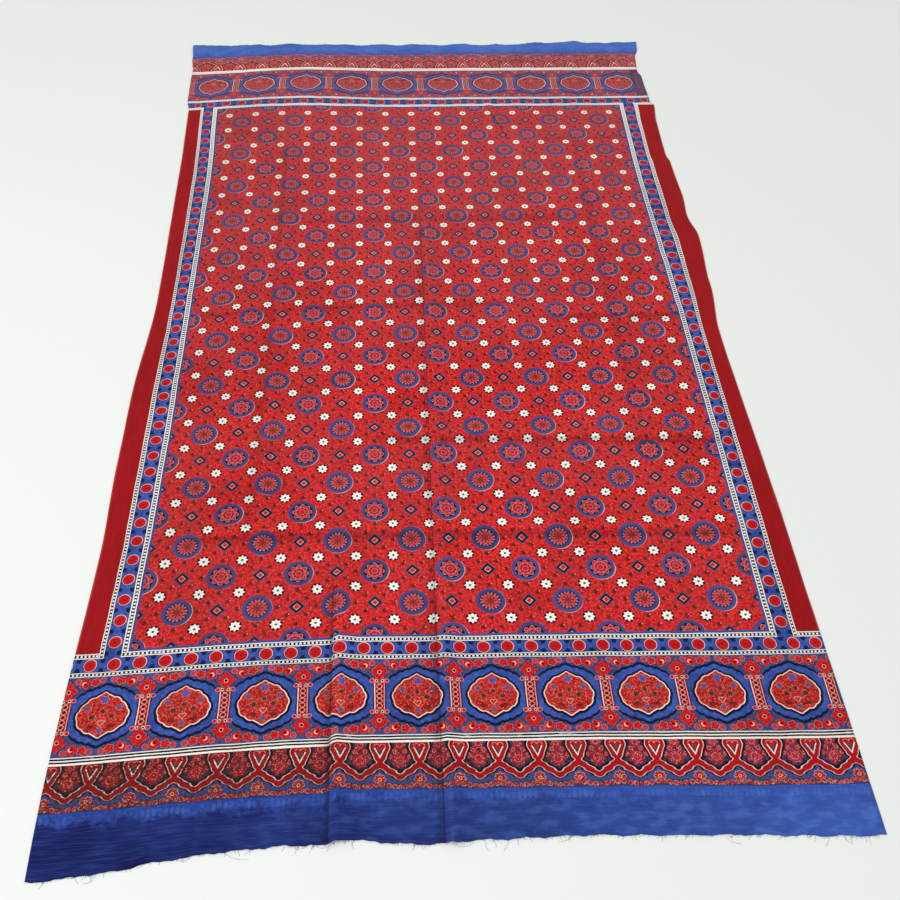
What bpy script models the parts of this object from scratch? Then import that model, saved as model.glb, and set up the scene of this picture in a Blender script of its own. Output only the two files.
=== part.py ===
"""An ajrakh: one loom-width length of block printed cotton, lying open on a flat surface.

The cloth is a single thin sheet. It lies flat but for the creases it was folded on, which stand up as
soft ridges with a hollow below them, and for the small waves of its far raw edge. Its outline is as
uneven as cloth laid down by hand.

Places on the cloth are in metres from the middle of its printed field: "across" runs to the right, and
"along" runs from the near end to the far end. The sheet is drawn flat in those two, and each of its
points is then laid down in X, Y and Z.
"""

from collections import namedtuple

import bpy
import numpy as np

# The print's own measures give the cloth its size, in metres.
REPEAT = 0.075
FIELD_WIDTH = 16 * REPEAT
FIELD_LENGTH = 24 * REPEAT
SIDE = 0.100
NEAR_END = 0.386
FAR_END = 0.357
THICKNESS = 0.0012

# The middle of the printed field, from the middle of the whole cloth's box.
FIELD_AT_X = 0.0083
FIELD_AT_Y = 0.0292

# Solid's grid, in metres between lines where no crease asks for one.
COLUMN_STEP = 0.070
ROW_STEP = 0.046

LEFT = -FIELD_WIDTH / 2 - SIDE
RIGHT = FIELD_WIDTH / 2 + SIDE
NEAR = -FIELD_LENGTH / 2 - NEAR_END
FAR = FIELD_LENGTH / 2 + FAR_END

# How far in from an edge the cloth is stretched to meet its uneven outline.
SIDE_MARGIN = 0.080
END_MARGIN = 0.060

# How far each edge stands out from the straight one, in millimetres, at places along that edge.
LEFT_EDGE_MM = (
    (-1.286, 0), (-0.690, -6), (-0.460, 1), (-0.260, 1), (0.080, -16), (0.540, -11),
    (0.900, -14), (0.950, -6), (1.110, 1), (1.200, 14), (1.257, 21),
)
RIGHT_EDGE_MM = (
    (-1.286, 0), (-0.700, -6), (-0.090, -16), (0.090, 0), (0.280, 13), (0.360, 1), (0.450, 7),
    (0.610, 3), (0.640, -4), (0.810, -3), (0.899, 4), (0.910, -6), (1.060, -10), (1.082, -18),
    (1.170, -12), (1.218, 2), (1.257, 6),
)
NEAR_EDGE_MM = (
    (-0.700, 22), (-0.585, 16), (-0.487, 5), (-0.420, 0), (-0.290, -5), (-0.222, -3), (-0.210, -6),
    (-0.070, 3), (0.050, -3), (0.180, -7), (0.420, -5), (0.700, 0),
)
FAR_EDGE_MM = (
    (-0.700, 12), (-0.500, 5), (-0.200, 0), (0.250, -5), (0.450, 5), (0.700, 3),
)

# The far edge stands up in small waves: height in millimetres at places across it.
FAR_WAVES_MM = (
    (-0.700, 4.0), (-0.680, 5.0), (-0.600, 2.0), (-0.520, 5.5), (-0.475, 0.0), (-0.410, 5.5),
    (-0.360, 1.0), (-0.240, 2.0), (-0.170, 0.0), (-0.120, 4.0), (-0.080, 0.0), (-0.007, 4.0),
    (0.070, 0.0), (0.150, 6.0), (0.170, 1.0), (0.225, 0.0), (0.250, 3.5), (0.300, 0.0),
    (0.380, 4.0), (0.435, 1.0), (0.500, 6.5), (0.540, 1.0), (0.590, 0.0), (0.650, 2.0), (0.700, 3.0),
)
WAVE_REACH = 0.070

# The cloth was pulled a little askew as it was laid: each pull shifts the cloth around one place.
Pull = namedtuple("Pull", "name across along reach_across reach_along right_mm away_mm")
PULLS = (
    Pull("near left corner", -0.75, -1.15, 0.30, 0.45, -20, -27),
    Pull("left side", -0.75, 0.00, 0.28, 0.50, 0, -26),
    Pull("far end, left", -0.38, 1.02, 0.22, 0.25, -3, 26),
    Pull("far end", 0.05, 1.15, 0.45, 0.22, 0, 8),
    Pull("far left corner", -0.65, 0.95, 0.25, 0.25, -14, 0),
    Pull("far end, middle", 0.15, 0.85, 0.22, 0.25, 8, 3),
    Pull("right side", 0.62, 0.55, 0.22, 0.40, -10, -2),
    Pull("middle, left", -0.25, 0.00, 0.30, 0.60, 4, 4),
    Pull("near right corner", 0.65, -1.10, 0.30, 0.30, 0, -8),
)

# Creases. Each row gives where the crest lies, where the crease starts and stops, how far the crest
# leans over that length, its height, and how far the ridge reaches before and after its crest.
Crease = namedtuple("Crease", "name at start stop lean height before after")

# These run along the cloth: at is across, and start and stop are along.
LENGTHWISE = (
    Crease("middle fold", -0.019, -1.60, 0.42, 0.012, 0.0065, 0.022, 0.038),
    Crease("near pleat", -0.221, -1.60, -0.72, 0.000, 0.0090, 0.014, 0.050),
    Crease("left quarter fold", -0.382, -0.74, 0.76, 0.012, 0.0040, 0.030, 0.030),
    Crease("right quarter fold", 0.460, -0.34, 0.80, 0.000, 0.0035, 0.030, 0.030),
    Crease("short crease", 0.172, -0.22, 0.04, 0.004, 0.0030, 0.022, 0.022),
    Crease("far diagonal", 0.209, 0.73, 0.96, -0.070, 0.0045, 0.012, 0.030),
)

# These run across the cloth: at is along, and start and stop are across.
CROSSWISE = (
    Crease("near fold", -0.647, -0.60, 0.62, -0.012, 0.0060, 0.026, 0.034),
    Crease("near fold, right", -0.757, 0.36, 0.60, 0.000, 0.0030, 0.020, 0.020),
    Crease("low fold", -0.395, -0.20, 0.68, -0.020, 0.0060, 0.030, 0.030),
    Crease("middle fold, right", -0.008, 0.22, 0.66, 0.000, 0.0060, 0.026, 0.030),
    Crease("middle fold, left", 0.042, -0.62, 0.28, 0.018, 0.0045, 0.030, 0.030),
    Crease("upper fold", 0.382, -0.38, 0.42, 0.000, 0.0040, 0.030, 0.034),
    Crease("far fold, left", 0.795, -0.64, -0.38, 0.000, 0.0030, 0.026, 0.026),
    Crease("far fold, right", 0.750, 0.30, 0.64, 0.010, 0.0035, 0.026, 0.026),
)
CREASE_FADE = 0.10

# The cloth touches the surface in its middle and out to both near corners. Towards its far corners, and
# along the middle of its near edge, it stands off the surface by less than a millimetre.
FAR_CORNER_RISE = 0.0008
NEAR_EDGE_RISE = 0.0006
NEAR_EDGE_RISE_HALF_WIDTH = 0.62
NEAR_EDGE_RISE_REACH = 0.40

# At the near pleat the cloth has slipped, so that its bands step by this much.
PLEAT = LENGTHWISE[1]
PLEAT_SLIP = 0.005
PLEAT_SLIP_REACH = 0.22

RED = (0.42, 0.016, 0.022, 1.0)
ROUGHNESS = 0.9


def eased(share):
    """0 to 1, with a soft start and a soft stop."""
    share = np.clip(share, 0.0, 1.0)
    return share * share * (3.0 - 2.0 * share)


def read_off(rows, place):
    """The value of a short table at a place, eased from each row to the next."""
    places, values = np.array(rows, float).T
    row = np.clip(np.searchsorted(places, place) - 1, 0, len(places) - 2)
    share = (place - places[row]) / (places[row + 1] - places[row])
    return values[row] + (values[row + 1] - values[row]) * eased(share)


def ridge(distance, before, after):
    """A ridge's height, as a share, at a distance from its crest: a soft crest and an eased foot."""
    share = np.clip(np.where(distance < 0, -distance / before, distance / after), 0.0, 1.0)
    return (1.0 - share) ** 2 * (1.0 + share)


def crease_height(crease, side, length):
    """Height of one crease at points "side" from the line its crest follows over "length"."""
    middle = (crease.start + crease.stop) / 2
    crest = crease.at + crease.lean * (length - middle) / (crease.stop - crease.start)
    fade = eased((length - crease.start) / CREASE_FADE) * eased((crease.stop - length) / CREASE_FADE)
    return crease.height * fade * ridge(side - crest, crease.before, crease.after)


def rise(across, along):
    """How far the cloth stands off the surface towards its far corners and along its near edge."""
    touching = RIGHT * (FAR - along) / (FAR - NEAR)
    corners = FAR_CORNER_RISE * np.clip(np.abs(across) - touching, 0.0, None) / RIGHT
    middle = np.clip(1.0 - (across / NEAR_EDGE_RISE_HALF_WIDTH) ** 2, 0.0, 1.0)
    near_edge = NEAR_EDGE_RISE * middle * (1.0 - eased((along - NEAR) / NEAR_EDGE_RISE_REACH))
    return np.maximum(corners, near_edge)


def lift(across, along):
    """Height of the cloth's underside above the surface. It is 0 wherever the cloth lies flat."""
    waves = read_off(FAR_WAVES_MM, across) / 1000.0 * (1.0 - eased((FAR - along) / WAVE_REACH))
    heights = [waves, rise(across, along)]
    heights += [crease_height(crease, across, along) for crease in LENGTHWISE]
    heights += [crease_height(crease, along, across) for crease in CROSSWISE]
    return np.max(heights, axis=0)


def stretch(across, along):
    """Moves the margins out or in, so that the sheet's edges follow the uneven outline."""
    left = 1.0 - eased((across - LEFT) / SIDE_MARGIN)
    right = 1.0 - eased((RIGHT - across) / SIDE_MARGIN)
    near = 1.0 - eased((along - NEAR) / END_MARGIN)
    far = 1.0 - eased((FAR - along) / END_MARGIN)
    to_right = right * read_off(RIGHT_EDGE_MM, along) - left * read_off(LEFT_EDGE_MM, along)
    away = far * read_off(FAR_EDGE_MM, across) - near * read_off(NEAR_EDGE_MM, across)
    return across + to_right / 1000.0, along + away / 1000.0


def slip(across, along):
    """How far the cloth right of the near pleat has slipped away from the near end."""
    past = across - PLEAT.at
    side = eased(past / PLEAT.before + 1.0) * np.exp(-np.clip(past, 0.0, None) / PLEAT_SLIP_REACH)
    return PLEAT_SLIP * side * eased((PLEAT.stop - along) / CREASE_FADE)


def lay_down(across, along):
    """X, Y and Z of the underside at places on the cloth."""
    x, y = stretch(across, along)
    y = y + slip(across, along)
    for pull in PULLS:
        near_across = (across - pull.across) / pull.reach_across
        near_along = (along - pull.along) / pull.reach_along
        strength = np.exp(-(near_across**2) - near_along**2) / 1000.0
        x = x + pull.right_mm * strength
        y = y + pull.away_mm * strength
    return x + FIELD_AT_X, y + FIELD_AT_Y, lift(across, along)


def grid_lines(first, last, step, creases):
    """Grid line places from first to last, with a line on each crest and at each foot."""
    wanted = {first, last}
    for crease in creases:
        wanted |= {crease.at - crease.before, crease.at, crease.at + crease.after}
    stops = sorted(place for place in wanted if first <= place <= last)
    lines = [first]
    for stop in stops[1:]:
        pieces = max(1, int(np.ceil((stop - lines[-1]) / step)))
        lines += list(np.linspace(lines[-1], stop, pieces + 1)[1:])
    return np.array(lines)


def remove_scene_objects():
    for thing in list(bpy.data.objects):
        bpy.data.objects.remove(thing, do_unlink=True)


def cotton_material():
    material = bpy.data.materials.new("printed_cotton")
    material.use_nodes = True
    shader = material.node_tree.nodes["Principled BSDF"]
    shader.inputs["Base Color"].default_value = RED
    shader.inputs["Roughness"].default_value = ROUGHNESS
    shader.inputs["Metallic"].default_value = 0.0
    material.diffuse_color = RED
    return material


def add_cloth(collection):
    """A flat grid, laid down point by point and given the cloth's thickness upwards."""
    columns = grid_lines(LEFT, RIGHT, COLUMN_STEP, LENGTHWISE)
    rows = grid_lines(NEAR, FAR, ROW_STEP, CROSSWISE)
    bpy.ops.mesh.primitive_grid_add(
        x_subdivisions=len(columns) - 1, y_subdivisions=len(rows) - 1, size=2.0
    )
    cloth = bpy.context.object
    cloth.name = "cloth"
    cloth.data.name = "cloth"
    flat = np.array([vertex.co for vertex in cloth.data.vertices])
    column = np.rint((flat[:, 0] + 1.0) / 2.0 * (len(columns) - 1)).astype(int)
    row = np.rint((flat[:, 1] + 1.0) / 2.0 * (len(rows) - 1)).astype(int)
    laid = np.stack(lay_down(columns[column], rows[row]), axis=1)
    cloth.data.vertices.foreach_set("co", laid.ravel())
    cloth.data.update()
    cloth.data.shade_smooth()
    cloth.data.materials.append(cotton_material())
    thicken = cloth.modifiers.new("thickness", "SOLIDIFY")
    thicken.thickness = THICKNESS
    thicken.offset = 1.0
    for holder in list(cloth.users_collection):
        holder.objects.unlink(cloth)
    collection.objects.link(cloth)


def main():
    remove_scene_objects()
    collection = bpy.data.collections.new("ajrakh_cloth")
    bpy.context.scene.collection.children.link(collection)
    add_cloth(collection)


main()
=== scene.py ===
"""An ajrakh, dressed: one length of block printed cotton, its frayed ends, and a stage to see it on.

The cloth is a thin sheet that lies on the same folds as its solid. Places on it are in metres from the
middle of its printed field: "across" runs to the right, and "along" runs from the near end to the far end.
The sheet is drawn flat in those two, and each of its points is then laid down in X, Y and Z.

The print is drawn in nodes on the flat cloth. Its numbers are millimetres, u across and v along.
"""

from collections import namedtuple

import bpy
import numpy as np
from bpy.props import FloatProperty, FloatVectorProperty, IntProperty, PointerProperty
from mathutils import Euler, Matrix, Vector


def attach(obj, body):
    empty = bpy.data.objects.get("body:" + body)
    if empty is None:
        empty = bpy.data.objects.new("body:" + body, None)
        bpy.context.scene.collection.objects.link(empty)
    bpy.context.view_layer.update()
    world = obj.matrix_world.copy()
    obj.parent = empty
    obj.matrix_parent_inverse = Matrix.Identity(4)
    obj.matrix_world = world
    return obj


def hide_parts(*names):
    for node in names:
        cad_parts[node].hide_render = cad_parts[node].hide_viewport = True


bl_info = {
    "name": "Ajrakh cloth",
    "version": (1, 0, 0),
    "blender": (4, 5, 0),
    "location": "View3D > Sidebar > Ajrakh",
    "description": "Lays out a block printed cotton cloth with frayed ends",
    "category": "Object",
}

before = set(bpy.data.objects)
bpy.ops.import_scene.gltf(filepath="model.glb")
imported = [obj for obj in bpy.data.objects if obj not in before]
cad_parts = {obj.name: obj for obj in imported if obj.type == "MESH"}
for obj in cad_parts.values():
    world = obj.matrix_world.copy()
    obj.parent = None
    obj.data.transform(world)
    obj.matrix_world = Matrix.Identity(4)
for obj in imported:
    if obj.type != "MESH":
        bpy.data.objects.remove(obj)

# Millimetres in a metre.
MM = 1000.0

# Layout of the print, in metres.
REPEAT = 0.075
FIELD_WIDTH = 16 * REPEAT
FIELD_LENGTH = 24 * REPEAT
SIDE = 0.100
NEAR_END = 0.386
FAR_END = 0.357
FIELD_AT_X = 0.0083
FIELD_AT_Y = 0.0292

LEFT = -FIELD_WIDTH / 2 - SIDE
RIGHT = FIELD_WIDTH / 2 + SIDE
NEAR = -FIELD_LENGTH / 2 - NEAR_END
FAR = FIELD_LENGTH / 2 + FAR_END

# Where each band of the print stops, from the middle of the field.
SIDE_LADDER_STOP = 0.612
SIDE_DISCS_STOP = 0.643
SIDE_STOP = 0.6536
END_LADDER_STOP = 0.911
END_DISCS_STOP = 0.9375
END_BORDER_STOP = 0.947
MEDALLIONS_STOP = 1.096
STRIPES_STOP = 1.111
ARCHES_STOP = 1.195

# How far in from an edge the cloth is stretched to meet its uneven outline.
SIDE_MARGIN = 0.080
END_MARGIN = 0.060

# How far each edge stands out from the straight one, in millimetres, at places along that edge.
LEFT_EDGE_MM = (
    (-1.286, 0), (-0.690, -6), (-0.460, 1), (-0.260, 1), (0.080, -16), (0.540, -11),
    (0.900, -14), (0.950, -6), (1.110, 1), (1.200, 14), (1.257, 21),
)
RIGHT_EDGE_MM = (
    (-1.286, 0), (-0.700, -6), (-0.090, -16), (0.090, 0), (0.280, 13), (0.360, 1), (0.450, 7),
    (0.610, 3), (0.640, -4), (0.810, -3), (0.899, 4), (0.910, -6), (1.060, -10), (1.082, -18),
    (1.170, -12), (1.218, 2), (1.257, 6),
)
NEAR_EDGE_MM = (
    (-0.700, 22), (-0.585, 16), (-0.487, 5), (-0.420, 0), (-0.290, -5), (-0.222, -3), (-0.210, -6),
    (-0.070, 3), (0.050, -3), (0.180, -7), (0.420, -5), (0.700, 0),
)
FAR_EDGE_MM = (
    (-0.700, 12), (-0.500, 5), (-0.200, 0), (0.250, -5), (0.450, 5), (0.700, 3),
)

# The far edge stands up in small waves: height in millimetres at places across it.
FAR_WAVES_MM = (
    (-0.700, 4.0), (-0.680, 5.0), (-0.600, 2.0), (-0.520, 5.5), (-0.475, 0.0), (-0.410, 5.5),
    (-0.360, 1.0), (-0.240, 2.0), (-0.170, 0.0), (-0.120, 4.0), (-0.080, 0.0), (-0.007, 4.0),
    (0.070, 0.0), (0.150, 6.0), (0.170, 1.0), (0.225, 0.0), (0.250, 3.5), (0.300, 0.0),
    (0.380, 4.0), (0.435, 1.0), (0.500, 6.5), (0.540, 1.0), (0.590, 0.0), (0.650, 2.0), (0.700, 3.0),
)
WAVE_REACH = 0.070

# The cloth was pulled a little askew as it was laid: each pull shifts the cloth around one place.
Pull = namedtuple("Pull", "name across along reach_across reach_along right_mm away_mm")
PULLS = (
    Pull("near left corner", -0.75, -1.15, 0.30, 0.45, -20, -27),
    Pull("left side", -0.75, 0.00, 0.28, 0.50, 0, -26),
    Pull("far end, left", -0.38, 1.02, 0.22, 0.25, -3, 26),
    Pull("far end", 0.05, 1.15, 0.45, 0.22, 0, 8),
    Pull("far left corner", -0.65, 0.95, 0.25, 0.25, -14, 0),
    Pull("far end, middle", 0.15, 0.85, 0.22, 0.25, 8, 3),
    Pull("right side", 0.62, 0.55, 0.22, 0.40, -10, -2),
    Pull("middle, left", -0.25, 0.00, 0.30, 0.60, 4, 4),
    Pull("near right corner", 0.65, -1.10, 0.30, 0.30, 0, -8),
)

# Creases. Each row gives where the crest lies, where the crease starts and stops, how far the crest
# leans over that length, its height, and how far the ridge reaches before and after its crest.
Crease = namedtuple("Crease", "name at start stop lean height before after")

# These run along the cloth: at is across, and start and stop are along.
LENGTHWISE = (
    Crease("middle fold", -0.019, -1.60, 0.42, 0.012, 0.0065, 0.022, 0.038),
    Crease("near pleat", -0.221, -1.60, -0.72, 0.000, 0.0090, 0.014, 0.050),
    Crease("left quarter fold", -0.382, -0.74, 0.76, 0.012, 0.0040, 0.030, 0.030),
    Crease("right quarter fold", 0.460, -0.34, 0.80, 0.000, 0.0035, 0.030, 0.030),
    Crease("short crease", 0.172, -0.22, 0.04, 0.004, 0.0030, 0.022, 0.022),
    Crease("far diagonal", 0.209, 0.73, 0.96, -0.070, 0.0045, 0.012, 0.030),
)

# These run across the cloth: at is along, and start and stop are across.
CROSSWISE = (
    Crease("near fold", -0.647, -0.60, 0.62, -0.012, 0.0060, 0.026, 0.034),
    Crease("near fold, right", -0.757, 0.36, 0.60, 0.000, 0.0030, 0.020, 0.020),
    Crease("low fold", -0.395, -0.20, 0.68, -0.020, 0.0060, 0.030, 0.030),
    Crease("middle fold, right", -0.008, 0.22, 0.66, 0.000, 0.0060, 0.026, 0.030),
    Crease("middle fold, left", 0.042, -0.62, 0.28, 0.018, 0.0045, 0.030, 0.030),
    Crease("upper fold", 0.382, -0.38, 0.42, 0.000, 0.0040, 0.030, 0.034),
    Crease("far fold, left", 0.795, -0.64, -0.38, 0.000, 0.0030, 0.026, 0.026),
    Crease("far fold, right", 0.750, 0.30, 0.64, 0.010, 0.0035, 0.026, 0.026),
)
CREASE_FADE = 0.10

# Wear and painted light on a crease: how wide the crest is, where the cloth is rubbed lighter as real wear
# and as a painted highlight, and the height at which crest and hollow are fully marked, in metres. The
# hollow beside it, where shade is painted, has its place and width as shares of the ridge's reach before the
# crest.
CREST_WIDTH = 0.006
FULL_WEAR_AND_SHADE_HEIGHT = 0.006
HOLLOW_AT = 0.7
HOLLOW_WIDTH = 0.35

# The sheet's grid: the closest that two wanted lines lie, how far the lines around a crest lie from it,
# and by what share of a step the others may be wider apart.
CLOSEST_LINES = 0.002
BESIDE_CREST = 0.004
BESIDE_CUT_END = 0.004
STEP_SLACK = 0.2

# The cloth touches the surface in its middle and out to both near corners. Towards its far corners, and
# along the middle of its near edge, it stands off the surface by less than a millimetre.
FAR_CORNER_RISE = 0.0008
NEAR_EDGE_RISE = 0.0006
NEAR_EDGE_RISE_HALF_WIDTH = 0.62
NEAR_EDGE_RISE_REACH = 0.40

MIDDLE_FOLD, PLEAT = LENGTHWISE[:2]
FAR_DIAGONAL = LENGTHWISE[-1]

# At the near pleat the cloth has slipped, so that its bands step by this much.
PLEAT_SLIP = 0.005
PLEAT_SLIP_WIDTH = 0.010
PLEAT_SLIP_REACH = 0.22

# A fine raggedness of the cut ends, and soft swells over the whole cloth.
RAGGED_REACH = 0.010
Swell = namedtuple("Swell", "height across along turn")
RAGS = (
    Swell(0.0009, 0.021, 1.0, 0.0), Swell(0.0006, 0.0087, 1.0, 1.3), Swell(0.0011, 0.067, 1.0, 2.1),
)
SWELLS = (
    Swell(0.00030, 0.160, 0.210, 0.4), Swell(0.00022, -0.095, 0.130, 1.9),
    Swell(0.00014, 0.060, -0.075, 3.1),
)
SWELL_WANDER = 0.37

# The print's measures, in millimetres.
CELL = REPEAT * MM
DISC_PITCH = 45.0
RUNG_PITCH = 7.5
MEDALLION_PITCH = 138.0
MEDALLION_START = -73.0
ARCH_PITCH = MEDALLION_PITCH / 2
INK_EDGE = 0.35

# How the print wanders: the size of the patches that move together, and how far they move.
Shake = namedtuple("Shake", "patch reach seed")
SHAKES = (Shake(70.0, 2.2, 1.0), Shake(5.0, 0.8, 2.0))

# The painted shadow line on a sharp fold: its place as a share of the ridge's reach before the crest, its
# half width, its soft edge, and the length over which it fades out.
FOLD_SHADOW_AT = 0.55
FOLD_SHADOW_HALF_WIDTH = 0.7
FOLD_SHADOW_EDGE = 0.8
FOLD_SHADOW_FADE = 150.0

# How strongly the crease marks show, as shares: on a crest, rubbed lighter as wear and a painted highlight,
# in the hollow beside it as painted shade, along a sharp fold as a painted shadow, and how much paler the
# underside is.
CREST_RUB_AND_HIGHLIGHT = 0.7
HOLLOW_SHADE = 0.46
FOLD_SHADOW_STRENGTH = 0.65
UNDERSIDE_PALE = 0.35

# Distances between neighbouring threads.
WARP_PITCH = 0.42
WEFT_PITCH = 0.46

# Half of the cartouche's outline: its radius at angles down from its top point, in degrees.
CARTOUCHE_MM = (
    (0, 44.0), (5, 41.0), (12, 38.0), (20, 37.3), (32, 38.3), (50, 39.2), (64, 40.6), (77, 43.0),
    (90, 44.6), (104, 44.4), (118, 43.2), (133, 40.4), (148, 38.8), (160, 37.2), (169, 38.6),
    (176, 42.0), (180, 44.0),
)
# The dark line around each cartouche: its distance from the band's middle at places out from the tip.
FRAME_MM = (
    (0, 59.5), (6, 55.0), (17, 51.5), (32, 46.5), (46, 38.0), (58, 29.0), (69, 26.0),
)
# An arch's ribbon: how far it runs from where two ribbons cross, at depths into the band.
RIBBON_MM = (
    (0, 9.4), (5, 11.4), (10, 11.8), (15, 10.0), (20, 7.6), (26, 5.2), (32, 3.0), (38, 0.0), (42, 4.8),
    (46, 9.0), (50, 13.8), (54, 19.6), (57.5, 25.0), (60.5, 30.0), (63, 34.5), (70, 46.0), (84, 70.0),
)

# The frayed ends. A thread's turn is from straight out of the cloth and its bend is over its whole
# length, in radians. Lengths are in metres.
Thread = namedtuple("Thread", "across turn length bend")
NEAR_LOOSE = (
    Thread(-0.471, 0.9, 0.062, 2.9), Thread(-0.395, 0.5, 0.045, 1.2), Thread(-0.212, -0.6, 0.050, -1.1),
    Thread(-0.024, 0.7, 0.042, 1.6), Thread(0.180, -0.9, 0.030, -0.8), Thread(0.430, 0.4, 0.034, 1.0),
    Thread(-0.590, -0.4, 0.030, -1.4),
)
FAR_LOOSE = (
    Thread(-0.300, 0.6, 0.024, 1.0), Thread(0.220, -0.5, 0.028, -1.2), Thread(0.540, 0.3, 0.020, 0.6),
)
THREAD_STEPS = 7
THREAD_WANDER = 0.12
THREAD_DROOP = 1.6
THREAD_LIES_AT = 0.0003
THREAD_ROOT = 0.0012
FROM_CORNER = 0.002
FRAY_TURN = 0.55
FRAY_BEND = 0.9
LONGEST_FRAY = 0.022

FLAT_PLACE = "flat_place"
# The attribute that carries crest wear with its painted highlight, and painted shade in the hollows.
CREST_WEAR_AND_SHADE = "crest_wear_and_shade"

SEED = 11


def dye(red, green, blue):
    """A colour by its screen values from 0 to 255, as the linear one that Blender takes."""
    shares = np.array((red, green, blue)) / 255.0
    linear = np.where(shares <= 0.04045, shares / 12.92, ((shares + 0.055) / 1.055) ** 2.4)
    return tuple(float(share) for share in linear)


def colour_setting(name, description, colour):
    return FloatVectorProperty(
        name=name, description=description, subtype="COLOR", size=3, min=0.0, max=1.0, default=colour
    )


class AjrakhSizes(bpy.types.PropertyGroup):
    """Sizes of the cloth that a user may change."""

    thickness: FloatProperty(
        name="Thickness", description="Thickness of the cloth", default=0.0011, min=0.0003, unit="LENGTH"
    )
    grid_step: FloatProperty(
        name="Grid step", description="Distance between the sheet's grid lines", default=0.0105,
        min=0.006, unit="LENGTH",
    )
    thread_width: FloatProperty(
        name="Thread width", description="Width of a frayed thread", default=0.00036, min=0.0001,
        unit="LENGTH",
    )
    thread_length: FloatProperty(
        name="Thread length", description="Usual length of a frayed thread", default=0.006, min=0.001,
        unit="LENGTH",
    )
    near_threads: IntProperty(
        name="Near threads", description="Number of threads along the near end", default=210, min=0
    )
    far_threads: IntProperty(
        name="Far threads", description="Number of threads along the far end", default=150, min=0
    )


class AjrakhColours(bpy.types.PropertyGroup):
    """Dyes of the cloth that a user may change."""

    madder: colour_setting("Madder", "Red of the printed field", dye(208, 19, 30))
    madder_light: colour_setting("Light madder", "Thin, orange places in the red", dye(236, 62, 44))
    madder_pale: colour_setting("Pale madder", "Places where the red took badly", dye(238, 110, 106))
    madder_dark: colour_setting("Dark madder", "Deep places in the red", dye(130, 10, 18))
    selvedge: colour_setting("Selvedge", "Plain red along both sides", dye(152, 18, 24))
    blush: colour_setting("Blush", "Pale outlines of the red motifs", dye(248, 204, 184))
    indigo: colour_setting("Indigo", "Blue of the borders", dye(51, 80, 168))
    indigo_light: colour_setting("Light indigo", "Thin places in the blue", dye(88, 126, 210))
    indigo_deep: colour_setting("Deep indigo", "Plain blue of both ends", dye(18, 20, 78))
    slate: colour_setting("Slate", "Blue grey rings and diamonds of the field", dye(70, 78, 126))
    violet: colour_setting("Violet", "Blue printed over red", dye(104, 60, 122))
    moss: colour_setting("Moss", "Green brown leaves and small stars", dye(60, 32, 26))
    black: colour_setting("Black", "Outlines", dye(14, 12, 22))
    white: colour_setting("White", "Undyed cotton", dye(250, 244, 234))
    # A pale grey laid over the far part of the field as painted sheen, and in random patches as uneven fade.
    sheen_and_fade: colour_setting("Faded", "Grey that dulls the far part of the field", dye(144, 98, 108))
    gold: colour_setting("Gold", "Yellow flecks", dye(232, 176, 84))
    floor: colour_setting("Floor", "The floor under the cloth", dye(240, 244, 240))


def eased(share):
    """0 to 1, with a soft start and a soft stop."""
    share = np.clip(share, 0.0, 1.0)
    return share * share * (3.0 - 2.0 * share)


def read_off(rows, place):
    """The value of a short table at a place, eased from each row to the next."""
    places, values = np.array(rows, float).T
    row = np.clip(np.searchsorted(places, place) - 1, 0, len(places) - 2)
    share = (place - places[row]) / (places[row + 1] - places[row])
    return values[row] + (values[row + 1] - values[row]) * eased(share)


def ridge(distance, before, after):
    """A ridge's height, as a share, at a distance from its crest: a soft crest and an eased foot."""
    share = np.clip(np.where(distance < 0, -distance / before, distance / after), 0.0, 1.0)
    return (1.0 - share) ** 2 * (1.0 + share)


def past_crest(crease, side, length):
    """How far points lie past the line that a crease's crest follows over its length."""
    middle = (crease.start + crease.stop) / 2
    return side - crease.at - crease.lean * (length - middle) / (crease.stop - crease.start)


def crease_strength(crease, length):
    """1 along a crease, fading to 0 at its two ends."""
    return eased((length - crease.start) / CREASE_FADE) * eased((crease.stop - length) / CREASE_FADE)


def crease_height(crease, side, length):
    share = ridge(past_crest(crease, side, length), crease.before, crease.after)
    return crease.height * crease_strength(crease, length) * share


def rise(across, along):
    """How far the cloth stands off the surface towards its far corners and along its near edge."""
    touching = RIGHT * (FAR - along) / (FAR - NEAR)
    corners = FAR_CORNER_RISE * np.clip(np.abs(across) - touching, 0.0, None) / RIGHT
    middle = np.clip(1.0 - (across / NEAR_EDGE_RISE_HALF_WIDTH) ** 2, 0.0, 1.0)
    near_edge = NEAR_EDGE_RISE * middle * (1.0 - eased((along - NEAR) / NEAR_EDGE_RISE_REACH))
    return np.maximum(corners, near_edge)


def swells(across, along):
    """Soft, low swells all over the cloth, never below the surface."""
    height = np.zeros_like(across)
    for swell in SWELLS:
        turn = 2 * np.pi * (across / swell.across + along / swell.along) + swell.turn
        height = height + swell.height * (1.0 + np.sin(turn + np.sin(turn * SWELL_WANDER)))
    return height


def lift(across, along):
    """Height of the cloth's underside above the surface."""
    waves = read_off(FAR_WAVES_MM, across) / MM * (1.0 - eased((FAR - along) / WAVE_REACH))
    heights = [waves, rise(across, along)]
    heights += [crease_height(crease, across, along) for crease in LENGTHWISE]
    heights += [crease_height(crease, along, across) for crease in CROSSWISE]
    return np.max(heights, axis=0) + swells(across, along)


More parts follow.
